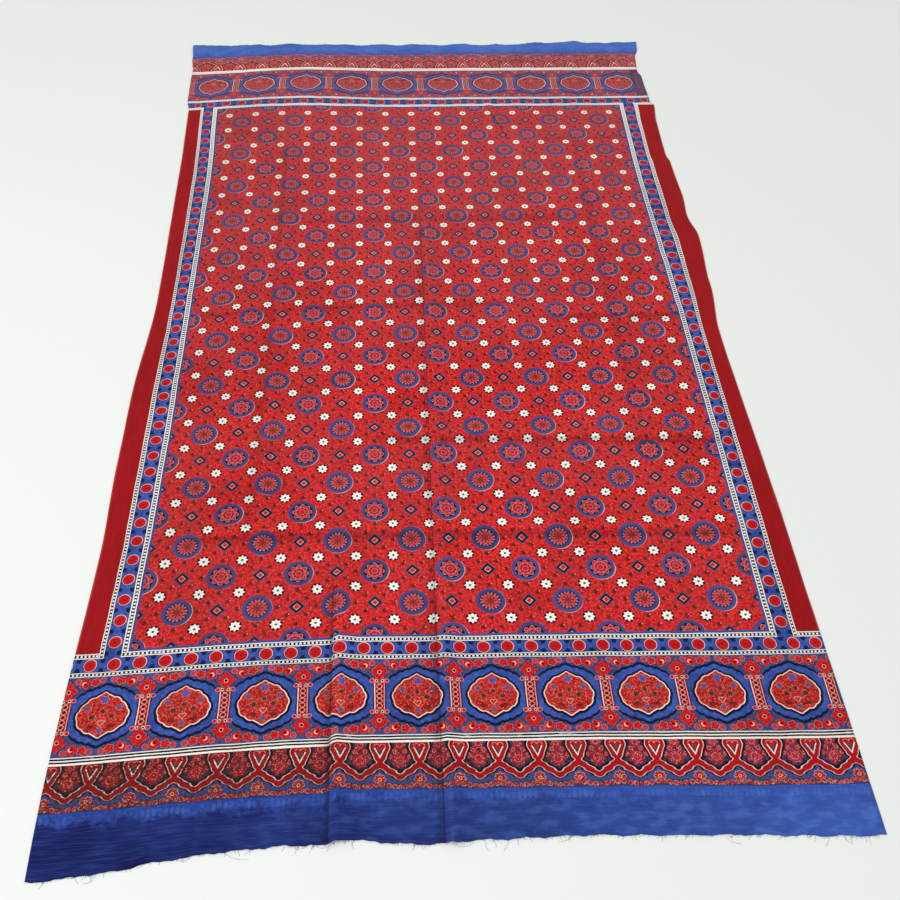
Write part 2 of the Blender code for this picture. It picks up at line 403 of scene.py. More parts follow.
def crest_wear_and_shade(across, along):
    """How worn and shaded the cloth is: 1 on a crest that it was folded on, rubbed lighter with a painted
    highlight, and below 0 in the hollow beside it, where shade is painted.
    """
    shares = []
    for creases, side, length in ((LENGTHWISE, across, along), (CROSSWISE, along, across)):
        for crease in creases:
            past = past_crest(crease, side, length)
            crest = np.exp(-((past / CREST_WIDTH) ** 2))
            hollow_past = (past + crease.before * HOLLOW_AT) / (crease.before * HOLLOW_WIDTH)
            hollow = np.exp(-(hollow_past**2))
            strength = crease_strength(crease, length)
            shares.append(strength * (crest - hollow) * crease.height / FULL_WEAR_AND_SHADE_HEIGHT)
    shares = np.array(shares)
    return np.max(shares, axis=0) + np.min(shares, axis=0)


def ragged(across, side):
    """How far a cut end runs out or in, thread by thread."""
    out = np.zeros_like(across)
    for rag in RAGS:
        out = out + rag.height * np.sin(2 * np.pi * across / rag.across + rag.turn + side)
    return out


def stretch(across, along):
    """Moves the margins out or in, so that the sheet's edges follow the uneven outline."""
    left = 1.0 - eased((across - LEFT) / SIDE_MARGIN)
    right = 1.0 - eased((RIGHT - across) / SIDE_MARGIN)
    near = 1.0 - eased((along - NEAR) / END_MARGIN)
    far = 1.0 - eased((FAR - along) / END_MARGIN)
    to_right = right * read_off(RIGHT_EDGE_MM, along) - left * read_off(LEFT_EDGE_MM, along)
    away = far * read_off(FAR_EDGE_MM, across) - near * read_off(NEAR_EDGE_MM, across)
    near_rag = (1.0 - eased((along - NEAR) / RAGGED_REACH)) * ragged(across, 0.0)
    far_rag = (1.0 - eased((FAR - along) / RAGGED_REACH)) * ragged(across, 2.0)
    return across + to_right / MM, along + away / MM + far_rag - near_rag


def slip(across, along):
    """How far the cloth right of the near pleat has slipped away from the near end."""
    past = across - PLEAT.at
    side = eased(past / PLEAT_SLIP_WIDTH + 1.0) * np.exp(-np.clip(past, 0.0, None) / PLEAT_SLIP_REACH)
    return PLEAT_SLIP * side * eased((PLEAT.stop - along) / CREASE_FADE)


def lay_down(across, along):
    """X, Y and Z of the underside at places on the cloth."""
    x, y = stretch(across, along)
    y = y + slip(across, along)
    for pull in PULLS:
        near_across = (across - pull.across) / pull.reach_across
        near_along = (along - pull.along) / pull.reach_along
        strength = np.exp(-(near_across**2) - near_along**2) / MM
        x = x + pull.right_mm * strength
        y = y + pull.away_mm * strength
    return x + FIELD_AT_X, y + FIELD_AT_Y, lift(across, along)


def grid_lines(first, last, step, wanted):
    """Grid line places from first to last, with a line at each wanted place."""
    stops = [first]
    for place in sorted(place for place in wanted if first < place < last):
        if place - stops[-1] > CLOSEST_LINES:
            stops.append(place)
    stops.append(last)
    lines = [first]
    for stop in stops[1:]:
        pieces = max(1, int(np.ceil((stop - lines[-1]) / step - STEP_SLACK)))
        lines += list(np.linspace(lines[-1], stop, pieces + 1)[1:])
    return np.array(lines)


def crease_lines(creases):
    """Places where the grid needs a line for a crease: at both feet, in the hollow where shade is painted,
    and close around the crest.
    """
    wanted = set()
    for crease in creases:
        wanted |= {crease.at - crease.before, crease.at - crease.before * HOLLOW_AT}
        wanted |= {crease.at - BESIDE_CREST, crease.at + BESIDE_CREST, crease.at + crease.after}
    return wanted


class Number:
    """A number in a print, in millimetres or as a share. What is worked out from it becomes math nodes."""

    def __init__(self, pen, socket):
        self.pen = pen
        self.socket = socket

    def math(self, operation, *others, clamp=False):
        return self.pen.math(operation, self, *others, clamp=clamp)

    def __add__(self, other):
        return self.math("ADD", other)

    def __sub__(self, other):
        return self.math("SUBTRACT", other)

    def __rsub__(self, other):
        return self.pen.math("SUBTRACT", other, self)

    def __mul__(self, other):
        return self.math("MULTIPLY", other)

    __radd__ = __add__
    __rmul__ = __mul__

    def __truediv__(self, other):
        return self.math("DIVIDE", other)

    def __neg__(self):
        return self.math("MULTIPLY", -1.0)

    def __abs__(self):
        return self.math("ABSOLUTE")

    def smaller(self, other):
        return self.math("MINIMUM", other)

    def larger(self, other):
        return self.math("MAXIMUM", other)

    def cosine(self):
        return self.math("COSINE")

    def side(self):
        """-1 below 0 and 1 above it."""
        return self.math("SIGN")

    def repeat(self, pitch, start=0.0):
        """The distance from the nearest of the places that lie a pitch apart."""
        return (self - start).math("WRAP", pitch / 2, -pitch / 2)

    def count(self, pitch):
        """The number of the nearest of the places that lie a pitch apart."""
        return (self / pitch).math("ROUND")

    def odd(self):
        """1 for an odd whole number and 0 for an even one."""
        return self.math("FLOORED_MODULO", 2.0)

    def inside(self, edge=INK_EDGE):
        """The share that a shape covers, from the distance outside its outline."""
        return self.math("MULTIPLY_ADD", -0.5 / edge, 0.5, clamp=True)

    def between(self, low, high):
        """0 at a low value or below, and 1 at a high one or above."""
        return self.math("MULTIPLY_ADD", 1.0 / (high - low), -low / (high - low), clamp=True)


class Pen:
    """Draws the print of one band, in nodes on the flat cloth in millimetres."""

    def __init__(self, name, inks):
        self.material = bpy.data.materials.new(name)
        self.material.use_nodes = True
        self.tree = self.material.node_tree
        self.inks = inks
        self.flat = self.node("ShaderNodeUVMap", uv_map=FLAT_PLACE).outputs["UV"]
        self.u, self.v = self.hand_printed(self.flat)

    def node(self, kind, **settings):
        made = self.tree.nodes.new(kind)
        for name, value in settings.items():
            setattr(made, name, value)
        return made

    def feed(self, socket, value):
        """Puts a number, a Number, a colour or another node's socket into a socket."""
        if isinstance(value, Number):
            value = value.socket
        if isinstance(value, bpy.types.NodeSocket):
            self.tree.links.new(value, socket)
        elif isinstance(value, (int, float)) and socket.type == "RGBA":
            socket.default_value = (value, value, value, 1.0)
        elif socket.type == "RGBA":
            socket.default_value = (*value, 1.0)
        else:
            socket.default_value = value

    def math(self, operation, *values, clamp=False):
        node = self.node("ShaderNodeMath", operation=operation, use_clamp=clamp)
        for socket, value in zip(node.inputs, values):
            self.feed(socket, value)
        return Number(self, node.outputs[0])

    def hand_printed(self, flat):
        """The place on the cloth in millimetres, shaken as a hand-held block and soft ink shake it."""
        place = self.scaled(flat, MM, MM)
        for shake in SHAKES:
            noise = self.noise_node(shake.patch, shake.patch, shake.seed, detail=1.0)
            moved = self.node("ShaderNodeVectorMath", operation="MULTIPLY_ADD")
            self.feed(moved.inputs[0], noise.outputs["Color"])
            moved.inputs[1].default_value = (shake.reach, shake.reach, 0.0)
            self.feed(moved.inputs[2], place)
            back = self.node("ShaderNodeVectorMath", operation="ADD")
            self.feed(back.inputs[0], moved.outputs[0])
            back.inputs[1].default_value = (-shake.reach / 2, -shake.reach / 2, 0.0)
            place = back.outputs[0]
        split = self.node("ShaderNodeSeparateXYZ")
        self.feed(split.inputs[0], place)
        return Number(self, split.outputs[0]), Number(self, split.outputs[1])

    def scaled(self, flat, by_u, by_v, seed=0.0):
        mapping = self.node("ShaderNodeMapping")
        mapping.inputs["Scale"].default_value = (by_u, by_v, 1.0)
        mapping.inputs["Location"].default_value = (seed * 17.3, seed * 9.1, 0.0)
        self.feed(mapping.inputs["Vector"], flat)
        return mapping.outputs[0]

    def noise_node(self, size_u, size_v, seed, detail):
        noise = self.node("ShaderNodeTexNoise", noise_dimensions="2D")
        noise.inputs["Scale"].default_value = 1.0
        noise.inputs["Detail"].default_value = detail
        self.feed(noise.inputs["Vector"], self.scaled(self.flat, MM / size_u, MM / size_v, seed))
        return noise

    def noise(self, size_u, size_v=None, seed=0.0, low=0.3, high=0.7, detail=2.0):
        """An uneven share from 0 to 1, with patches of a size in millimetres."""
        node = self.noise_node(size_u, size_v or size_u, seed, detail)
        return Number(self, node.outputs[0]).between(low, high)

    def vein_lines(self, size, width):
        """Fine lines around cells of a size in millimetres, as in a filled-in block."""
        cells = self.node("ShaderNodeTexVoronoi", voronoi_dimensions="2D", feature="DISTANCE_TO_EDGE")
        cells.inputs["Scale"].default_value = 1.0
        self.feed(cells.inputs["Vector"], self.scaled(self.flat, MM / size, MM / size, 5.0))
        return (Number(self, cells.outputs["Distance"]) * size - width / 2).inside()

    def chance(self, column, row):
        """A share from 0 to 1 that differs from one motif to the next."""
        joined = self.node("ShaderNodeCombineXYZ")
        self.feed(joined.inputs[0], column)
        self.feed(joined.inputs[1], row)
        dice = self.node("ShaderNodeTexWhiteNoise", noise_dimensions="3D")
        self.feed(dice.inputs["Vector"], joined.outputs[0])
        return Number(self, dice.outputs["Value"])

    def radius(self, x, y):
        return (x * x + y * y).math("SQRT")

    def angle(self, x, y):
        return y.math("ARCTAN2", x)

    def disc(self, x, y, radius):
        return self.radius(x, y) - radius

    def box(self, x, y, half_width, half_height):
        return (abs(x) - half_width).larger(abs(y) - half_height)

    def diamond(self, x, y, half_width, half_height):
        return (abs(x) + abs(y) * (half_width / half_height) - half_width) * 0.72

    def round_flower(self, radius, angle, petals):
        """A flower of round petals with sharp notches between them."""
        share = abs((angle * (petals.number / 2)).cosine())
        return radius - (share * (petals.outer - petals.inner) + petals.inner)

    def star_flower(self, radius, angle, petals):
        """A flower of pointed, wavy petals."""
        swing = (angle * petals.number).cosine() * ((petals.outer - petals.inner) / 2)
        return radius - (swing + (petals.outer + petals.inner) / 2)

    def curve(self, rows, place):
        """The value of a short table at a place."""
        places, values = np.array(rows, float).T
        node = self.node("ShaderNodeFloatCurve")
        line = node.mapping.curves[0]
        low, high = values.min(), values.max()
        for index, (at, value) in enumerate(zip(places / places[-1], (values - low) / (high - low))):
            if index in (0, len(places) - 1):
                line.points[0 if index == 0 else -1].location = (at, value)
            else:
                line.points.new(at, value)
        node.mapping.update()
        self.feed(node.inputs["Value"], place / float(places[-1]))
        return Number(self, node.outputs[0]) * float(high - low) + float(low)

    def lay(self, colour, share, ink, blend="MIX"):
        """Lays an ink over a colour, by a share from 0 to 1."""
        mix = self.node("ShaderNodeMix", data_type="RGBA", blend_type=blend, clamp_factor=True)
        self.feed(mix.inputs[0], share)
        self.feed(mix.inputs[6], colour)
        self.feed(mix.inputs[7], ink)
        return mix.outputs[2]

    def print_shape(self, colour, distance, ink, strength=1.0):
        """Prints a shape, given by the distance outside its outline."""
        return self.lay(colour, distance.inside() * strength, ink)

    def madder_ground(self):
        """The uneven red that most motifs stand on."""
        inks = self.inks
        light = self.noise(6.4, seed=3.0, low=0.44, high=0.64) * 0.80
        colour = self.lay(inks.madder, light, inks.madder_light)
        colour = self.lay(colour, self.noise(6.0, seed=5.0, low=0.50, high=0.66) * 0.68, inks.madder_dark)
        colour = self.lay(colour, self.noise(3.6, seed=4.0, low=0.60, high=0.74) * 0.70, inks.madder_pale)
        return self.lay(colour, self.noise(90.0, seed=6.0, low=0.40, high=0.75) * 0.25, inks.madder_dark)

    def indigo_ground(self):
        """The uneven blue of the borders."""
        inks = self.inks
        light = self.noise(7.0, seed=7.0, low=0.45, high=0.75) * 0.50
        colour = self.lay(inks.indigo, light, inks.indigo_light)
        colour = self.lay(colour, self.noise(3.0, seed=8.0, low=0.45, high=0.70) * 0.60, inks.slate)
        return self.lay(colour, self.noise(40.0, seed=9.0, low=0.45, high=0.75) * 0.45, inks.indigo_deep)

    def finish(self, colour):
        """Adds the thread, the crease wear with its painted highlights and shade, the painted fold shadows,
        and the cloth feel that the whole cloth shares.
        """
        inks = self.inks
        weft = self.noise(30.0, 0.9, seed=10.0)
        warp = self.noise(0.8, 42.0, seed=11.0)
        thread = weft * 0.10 + warp * 0.10 + 0.90
        patches = self.noise(170.0, 230.0, seed=12.0) * 0.12 + 0.94
        colour = self.lay(colour, 1.0, thread * patches, blend="MULTIPLY")
        wear_and_shade = Number(self, self.node("ShaderNodeAttribute", attribute_name=CREST_WEAR_AND_SHADE).outputs["Fac"])
        # The crests are rubbed lighter: real wear and a painted highlight.
        rub_and_highlight = wear_and_shade.between(0.25, 1.4) * self.noise(9.0, seed=13.0) * CREST_RUB_AND_HIGHLIGHT
        colour = self.lay(colour, rub_and_highlight, inks.white, blend="SOFT_LIGHT")
        # Painted shade in the hollow beside each crease.
        colour = self.lay(colour, (-wear_and_shade).between(0.1, 1.2) * HOLLOW_SHADE, inks.black)
        # A painted shadow along the middle fold and the near pleat.
        for fold in (MIDDLE_FOLD, PLEAT):
            colour = self.lay(colour, self.painted_fold_shadow(fold) * FOLD_SHADOW_STRENGTH, inks.black)
        down = Number(self, self.split_height(self.node("ShaderNodeNewGeometry").outputs["True Normal"]))
        reverse = (-down).between(0.0, 0.2)
        colour = self.lay(colour, reverse * UNDERSIDE_PALE, inks.madder_pale)
        shader = self.tree.nodes["Principled BSDF"]
        self.feed(shader.inputs["Base Color"], colour)
        self.feed(shader.inputs["Roughness"], weft * 0.10 + 0.80)
        shader.inputs["Specular IOR Level"].default_value = 0.08
        shader.inputs["Sheen Weight"].default_value = 0.03
        shader.inputs["Sheen Roughness"].default_value = 0.5
        self.feed(shader.inputs["Normal"], self.woven_bump(weft, warp))
        return self.material

    def painted_fold_shadow(self, fold):
        """The fine painted shadow line on the steep side of a sharp lengthwise fold."""
        lean = fold.lean / (fold.stop - fold.start)
        middle = (fold.start + fold.stop) / 2
        crest = self.v * lean + (fold.at - fold.before * FOLD_SHADOW_AT - lean * middle) * MM
        line = abs(self.u - crest) - FOLD_SHADOW_HALF_WIDTH
        return line.inside(FOLD_SHADOW_EDGE) * self.v.between(fold.stop * MM, fold.stop * MM - FOLD_SHADOW_FADE)

    def split_height(self, vector):
        split = self.node("ShaderNodeSeparateXYZ")
        self.feed(split.inputs[0], vector)
        return split.outputs[2]

    def woven_bump(self, weft, warp):
        """A plain weave with slubs, and the fine crumple of washed cotton."""
        over = (self.u * (np.pi / WARP_PITCH)).cosine() * (self.v * (np.pi / WEFT_PITCH)).cosine()
        crumple = self.noise(14.0, 11.0, seed=14.0, detail=3.0)
        height = over * 0.10 + weft * 0.12 + warp * 0.12 + crumple * 1.0
        bump = self.node("ShaderNodeBump")
        bump.inputs["Strength"].default_value = 0.5
        bump.inputs["Distance"].default_value = 0.0010
        self.feed(bump.inputs["Height"], height)
        return bump.outputs[0]


# Petals of a flower: their number, and the flower's radius between two of them and at their tips.
Petals = namedtuple("Petals", "number inner outer")
SMALL_STAR = Petals(5, 3.4, 5.6)
LOBES = Petals(8, 14.4, 20.2)
LOBED_HEART_RIM = Petals(8, 10.6, 13.6)
LOBED_HEART = Petals(8, 9.8, 12.8)
LOBED_HEART_PETALS = Petals(8, 7.6, 11.2)
TICKED_SHADE = Petals(8, 15.0, 17.8)
TICKED_GROUND = Petals(8, 14.2, 16.9)
TICKED_STAR_RIM = Petals(8, 7.4, 14.4)
TICKED_STAR = Petals(8, 6.2, 13.4)
TICKED_HEART = Petals(8, 2.6, 6.4)
WHITE_FLOWER_OUTLINE = Petals(8, 13.4, 11.8)
WHITE_FLOWER = Petals(8, 7.9, 10.9)

# The ring of a rosette, and how far from a diamond's middle its four small stars stand.
RING_RADIUS = 28.5
RING_HOLE = 21.3
STARS_FROM_DIAMOND = 18.0


def draw_small_star(pen, colour, x, y, present, seed):
    """A small dark star of the field, with a pale sliver beside it."""
    ragged_edge = pen.star_flower(pen.radius(x, y), pen.angle(x, y), SMALL_STAR)
    strength = present * (pen.noise(30.0, seed=seed, low=0.25, high=0.55) * 0.25 + 0.68)
    sliver = pen.disc(x - 4.0, (y - 1.6) * 0.7, 1.3)
    colour = pen.print_shape(colour, sliver, pen.inks.blush, strength * pen.noise(55.0, seed=seed + 5.0))
    return pen.print_shape(colour, ragged_edge, pen.inks.moss, strength)


def draw_diamond(pen, colour, x, y, present):
    """A diamond of a blue grey and a black line around a red core."""
    inks = pen.inks
    reach = abs(x) + abs(y)
    border = pen.lay(inks.slate, pen.noise(4.0, seed=21.0) * 0.4, inks.moss)
    core = pen.lay(inks.madder_light, pen.noise(3.0, seed=28.0), inks.madder_dark)
    rim = pen.lay(inks.madder_pale, pen.noise(9.0, seed=35.0), inks.blush)
    for half_width, ink in ((16.8, border), (13.4, inks.black), (7.7, rim), (5.7, core)):
        colour = pen.print_shape(colour, (reach - half_width) * 0.7, ink, present)
    return colour


def draw_ring(pen, colour, x, y, present, chance):
    """The blue ring and black ground that both rosettes share."""
    inks = pen.inks
    blue = pen.lay(inks.slate, pen.noise(6.0, seed=22.0) * 0.6, inks.indigo)
    blue = pen.lay(blue, pen.noise(5.0, seed=23.0, low=0.45, high=0.75) * 0.4, inks.violet)
    blue = pen.lay(blue, chance * 0.35, inks.black)
    radius = pen.radius(x, y)
    showing = present * pen.noise(60.0, seed=34.0, low=0.35, high=0.65)
    slipped_rim = pen.disc(x - 1.1, y + 0.7, RING_RADIUS + 0.1)
    colour = pen.print_shape(colour, slipped_rim, inks.blush, showing)
    colour = pen.print_shape(colour, radius - RING_RADIUS, blue, present)
    return pen.print_shape(colour, radius - RING_HOLE, inks.black, present), radius


def draw_lobed_flower(pen, colour, radius, angle, present):
    """A rosette's flower of eight round lobes with a ring of small petals in it."""
    inks = pen.inks
    lobes = pen.round_flower(radius, angle, LOBES)
    flecked = pen.lay(inks.madder, pen.noise(3.0, seed=24.0, low=0.45, high=0.70) * 0.6, inks.violet)
    petal = pen.lay(inks.moss, pen.noise(8.0, seed=25.0, low=0.42, high=0.60), inks.violet)
    between_lobes = abs((angle * 4.0).cosine()) * radius * 0.25
    take = present * (pen.noise(7.0, seed=29.0) * 0.4 + 0.5)
    pale = pen.lay(inks.blush, pen.noise(6.0, seed=37.0) * 0.8, inks.madder_pale)
    colour = pen.print_shape(colour, lobes, pale, take)
    colour = pen.print_shape(colour, lobes + 1.1, flecked, present)
    colour = pen.print_shape(colour, (between_lobes - 0.45).larger(lobes), pale, present * 0.6)
    heart_rim = pen.round_flower(radius, angle, LOBED_HEART_RIM)
    colour = pen.print_shape(colour, heart_rim, inks.blush, present * 0.55)
    colour = pen.print_shape(colour, pen.round_flower(radius, angle, LOBED_HEART), inks.madder, present)
    heart_petals = pen.round_flower(radius, angle, LOBED_HEART_PETALS)
    colour = pen.print_shape(colour, heart_petals, petal, present * 0.85)
    colour = pen.print_shape(colour, (between_lobes - 0.8).larger(radius - 11.0), inks.madder, present)
    colour = pen.print_shape(colour, radius - 6.6, inks.blush, present * 0.35)
    return pen.print_shape(colour, radius - 5.6, inks.madder, present)


def draw_ticked_flower(pen, colour, radius, angle, present):
    """A rosette's pointed star in a rim of black and pale ticks."""
    inks = pen.inks
    ticks = (angle * 16.0).cosine() * radius * 0.06 + 0.45
    flecked = pen.lay(inks.madder, pen.noise(2.5, seed=26.0, low=0.45, high=0.75) * 0.7, inks.madder_pale)
    dark = pen.lay(inks.madder_dark, 0.5, inks.moss)
    colour = pen.print_shape(colour, radius - 20.0, inks.violet, present * 0.4)
    pale = pen.lay(inks.blush, pen.noise(6.0, seed=36.0), inks.madder_pale)
    colour = pen.print_shape(colour, ticks.larger(radius - 19.6), pale, present * 0.62)
    layers = (
        (TICKED_SHADE, inks.violet, 0.5), (TICKED_GROUND, flecked, 1.0), (TICKED_STAR_RIM, inks.blush, 0.30),
        (TICKED_STAR, dark, 0.9), (TICKED_HEART, inks.madder, 0.45),
    )
    for petals, ink, strength in layers:
        star = pen.star_flower(radius, angle, petals)
        colour = pen.print_shape(colour, star, ink, present * strength)
    return pen.print_shape(colour, radius - 1.8, inks.black, present * 0.7)


def draw_white_flower(pen, colour, x, y):
    """A white flower with a black outline, creamier and softer towards the far end."""
    inks = pen.inks
    radius, angle = pen.radius(x, y), pen.angle(x, y)
    far = pen.v.between(0.0, 900.0)
    outline = pen.star_flower(radius, angle, WHITE_FLOWER_OUTLINE)
    colour = pen.print_shape(colour, outline, inks.black, 0.97 - far * 0.55)
    cream = pen.lay(inks.white, far * 0.18, inks.gold)
    colour = pen.print_shape(colour, pen.star_flower(radius, angle, WHITE_FLOWER), cream)
    return pen.print_shape(colour, radius - 2.6, inks.black, 0.9)


def field_print(inks):
    """The red field: white flowers, rosettes and diamonds in rows, with small dark stars between."""
    pen = Pen("field_print", inks)
    u, v = pen.u, pen.v
    x, y = u.repeat(CELL), v.repeat(CELL)
    column, row = u.count(CELL), v.count(CELL)
    has_diamond = (column + row).odd()
    has_rosette = 1.0 - has_diamond
    ticked = row.odd()
    chance = pen.chance(column, row)
    colour = pen.madder_ground()
    slant, counter = (u + v).repeat(CELL, CELL / 2), (u - v).repeat(CELL, CELL / 2)
    colour = draw_small_star(pen, colour, (slant + counter) * 0.5, (slant - counter) * 0.5, 1.0, 31.0)
    beside_x, beside_y = x - x.side() * STARS_FROM_DIAMOND, y - y.side() * STARS_FROM_DIAMOND
    colour = draw_small_star(pen, colour, beside_x, beside_y, has_diamond, 32.0)
    colour = draw_diamond(pen, colour, x, y, has_diamond)
    colour, radius = draw_ring(pen, colour, x, y, has_rosette, chance)
    angle = pen.angle(x, y)
    colour = draw_lobed_flower(pen, colour, radius, angle, has_rosette * (1.0 - ticked))
    colour = draw_ticked_flower(pen, colour, radius, angle, has_rosette * ticked)
    # Paler and greyer towards the far end as painted sheen, with large random patches of uneven fade.
    sheen_and_fade = v.between(-200.0, 900.0) * 0.20 + pen.noise(260.0, seed=33.0) * 0.08
    colour = pen.lay(colour, sheen_and_fade, inks.sheen_and_fade)
    colour = draw_white_flower(pen, colour, u.repeat(CELL, CELL / 2), v.repeat(CELL, CELL / 2))
    from_edge = (FIELD_WIDTH / 2 * MM - abs(u)).smaller(FIELD_LENGTH / 2 * MM - abs(v))
    blue = pen.lay(inks.indigo, pen.noise(9.0, seed=27.0), inks.slate)
    colour = pen.print_shape(colour, from_edge - 4.5, blue)
    colour = pen.lay(colour, u.between(-150.0, -600.0) * 0.14, inks.moss)
    # A painted shadow line along the far diagonal fold, fading in at its start.
    start = FAR_DIAGONAL.start * MM
    from_start = v.between(start - 5.0, start + 5.0)
    colour = pen.lay(colour, pen.painted_fold_shadow(FAR_DIAGONAL) * from_start * 1.6, inks.black)
    return pen.finish(colour)


# A ladder's squares, and the discs between two ladders, with their rim and outline.
RUNG_HALF_WIDTH = 1.9
DISC_RADIUS = 11.4
DISC_RIM = 12.6
DISC_OUTLINE = 14.0


def draw_ladder(pen, depth, length, width):
    """Two white lines, and a row of white squares on black between them."""
    inks = pen.inks
    middle = depth - width / 2
    take = pen.noise(14.0, seed=41.0, low=0.15, high=0.40) * 0.3 + 0.7
    take = take * (pen.v.between(1000.0, 400.0) * 0.65 + 0.35)
    rung = pen.box(length.repeat(RUNG_PITCH), middle, RUNG_HALF_WIDTH, width * 0.24)
    colour = pen.print_shape(inks.white, rung, inks.black, take)
    colour = pen.print_shape(colour, abs(abs(middle) - width * 0.23) - 0.55, inks.black, take)
    return pen.print_shape(colour, width / 2 - 0.5 - abs(middle), inks.black, take)


def draw_discs(pen, middle, length, half_width):
    """Pale-rimmed red discs on blue, with black wedges pointing in between them."""
    inks = pen.inks
    x = length.repeat(DISC_PITCH)
    between = length.repeat(DISC_PITCH, DISC_PITCH / 2)
    radius = pen.radius(x, middle)
    colour = pen.indigo_ground()
    from_rim = half_width - abs(middle)
    wedge = (abs(between) + from_rim * 0.40 - 6.2).larger(from_rim - 8.0)
    colour = pen.print_shape(colour, wedge, pen.lay(inks.black, 0.35, inks.indigo_deep), 0.92)
    colour = pen.print_shape(colour, radius - DISC_OUTLINE, inks.black, 0.55)
    colour = pen.print_shape(colour, pen.disc(x - 0.3, middle + 0.3, DISC_RIM), inks.blush, 0.85)
    red = pen.lay(inks.madder, pen.noise(3.0, seed=42.0, low=0.5, high=0.8) * 0.6, inks.madder_light)
    red = pen.lay(red, pen.noise(5.0, seed=43.0) * 0.5, inks.madder_dark)
    colour = pen.print_shape(colour, radius - DISC_RADIUS, red)
    colour = pen.print_shape(colour, abs(radius - 5.6) - 0.5, inks.madder_dark, 0.7)
    colour = pen.print_shape(colour, radius - 2.0, inks.moss)
    return pen.lay(colour, pen.v.between(-300.0, 900.0) * 0.24, inks.slate)


def side_border_print(inks):
    """The border along both sides: a ladder, a row of discs, and another ladder."""
    pen = Pen("side_border_print", inks)
    depth = abs(pen.u)
    inner, outer = SIDE_LADDER_STOP * MM, SIDE_DISCS_STOP * MM
    edge = FIELD_WIDTH / 2 * MM
    colour = draw_discs(pen, depth - (inner + outer) / 2, pen.v - 21.0, (outer - inner) / 2)
    first = draw_ladder(pen, depth - edge, pen.v, inner - edge)
    last = draw_ladder(pen, depth - outer, pen.v, SIDE_STOP * MM - outer)
    colour = pen.print_shape(colour, depth - inner, first)
    colour = pen.print_shape(colour, outer - depth, last)
    return pen.finish(colour)


def end_border_print(inks):
    """The same border across both ends."""
    pen = Pen("end_border_print", inks)
    depth = abs(pen.v)
    inner, outer = END_LADDER_STOP * MM, END_DISCS_STOP * MM
    edge = FIELD_LENGTH / 2 * MM
    colour = draw_discs(pen, depth - (inner + outer) / 2, pen.u - 9.0, (outer - inner) / 2)
    first = draw_ladder(pen, depth - edge, pen.u, inner - edge)
    last = draw_ladder(pen, depth - outer, pen.u, END_BORDER_STOP * MM - outer)
    colour = pen.print_shape(colour, depth - inner, first)
    colour = pen.print_shape(colour, outer - depth, last)
    return pen.finish(colour)


# What stands in a cartouche: places from its middle, to one side and up, and sizes, in millimetres.
Bloom = namedtuple("Bloom", "out up radius ink")
BLOOMS = (
    Bloom(0.5, 28.5, 7.6, "indigo"),
    Bloom(27.0, 12.8, 6.2, "slate"),
    Bloom(0.5, 7.0, 5.8, "moss"),
    Bloom(17.0, -3.0, 6.2, "moss"),
    Bloom(0.0, -29.0, 6.0, "slate"),
)


def draw_cartouche(pen, colour, x, y):
    """A red, lobed and pointed medallion filled with small blooms."""
    inks = pen.inks
    radius = pen.radius(x, y)
    from_top = pen.angle(y, abs(x)) * (180.0 / np.pi)
    scallop = abs((from_top * (np.pi / 180.0) * 7.0).math("SINE")) * 1.6
    outline = radius - pen.curve(CARTOUCHE_MM, from_top) - scallop
    colour = pen.print_shape(colour, outline - 4.6 + y * 0.016, inks.black, 0.96)
    line = pen.lay(inks.blush, (x - y).between(-20.0, 20.0) * 0.7, inks.white)
    colour = pen.print_shape(colour, outline, line)
    ground = pen.madder_ground()
    ground = pen.lay(ground, pen.noise(6.0, seed=53.0, low=0.50, high=0.70) * 0.55, inks.madder_dark)
    lines = pen.vein_lines(7.0, 0.7) * pen.noise(5.0, seed=51.0, low=0.50, high=0.58)
    ground = pen.lay(ground, lines * 0.50, inks.blush)
    ground = pen.lay(ground, pen.noise(14.0, seed=60.0, low=0.3, high=0.6) * 0.40, inks.madder_dark)
    ground = pen.lay(ground, pen.noise(2.6, seed=52.0, low=0.68, high=0.74) * 0.7, inks.gold)
    colour = pen.print_shape(colour, outline + 2.0, ground)
    for bloom in BLOOMS:
        bx = (abs(x) if bloom.out > 5.0 else x) - bloom.out
        by = y - bloom.up
        petals = Petals(6, bloom.radius - 2.4, bloom.radius)
        flower = pen.star_flower(pen.radius(bx, by), pen.angle(bx, by), petals)
        colour = pen.print_shape(colour, flower - 0.9, inks.blush, pen.noise(6.0, seed=57.0) * 0.5)
        colour = pen.print_shape(colour, flower, getattr(inks, bloom.ink), 0.92)
    leaf_x, leaf_y = abs(x) - 17.5, y + 22.0
    leaf = pen.radius(leaf_x - leaf_y * 0.4, leaf_y * 1.9) - 7.0
    colour = pen.print_shape(colour, leaf, inks.moss, 0.75)
    point = (abs(x) - (y + 20.5) * 0.85).larger(y + 13.0) * 0.75
    heart = pen.disc(abs(x) - 2.8, y + 13.0, 3.1).smaller(point)
    return pen.print_shape(colour, abs(heart) - 0.6, inks.blush, 0.55)


# A pillar, in millimetres from its middle: half widths and half heights of its shaft and capitals, and
# how far the capitals and the lozenges beyond them stand from its middle.
SHAFT = (10.0, 31.0)
LINK_PITCH = 9.4
CAPITAL = (13.4, 3.8)
CAPITAL_AT = 30.5
LOZENGE_AT = 48.5

# The flower and the bud that fill the corner between two pillars, and their places from a pillar's middle.
CORNER_FLOWER = Petals(5, 8.2, 11.4)
CORNER_FLOWER_AT = (27.5, 62.5)
CORNER_BUD = Petals(5, 6.4, 8.8)
CORNER_BUD_AT = (46.0, 64.0)


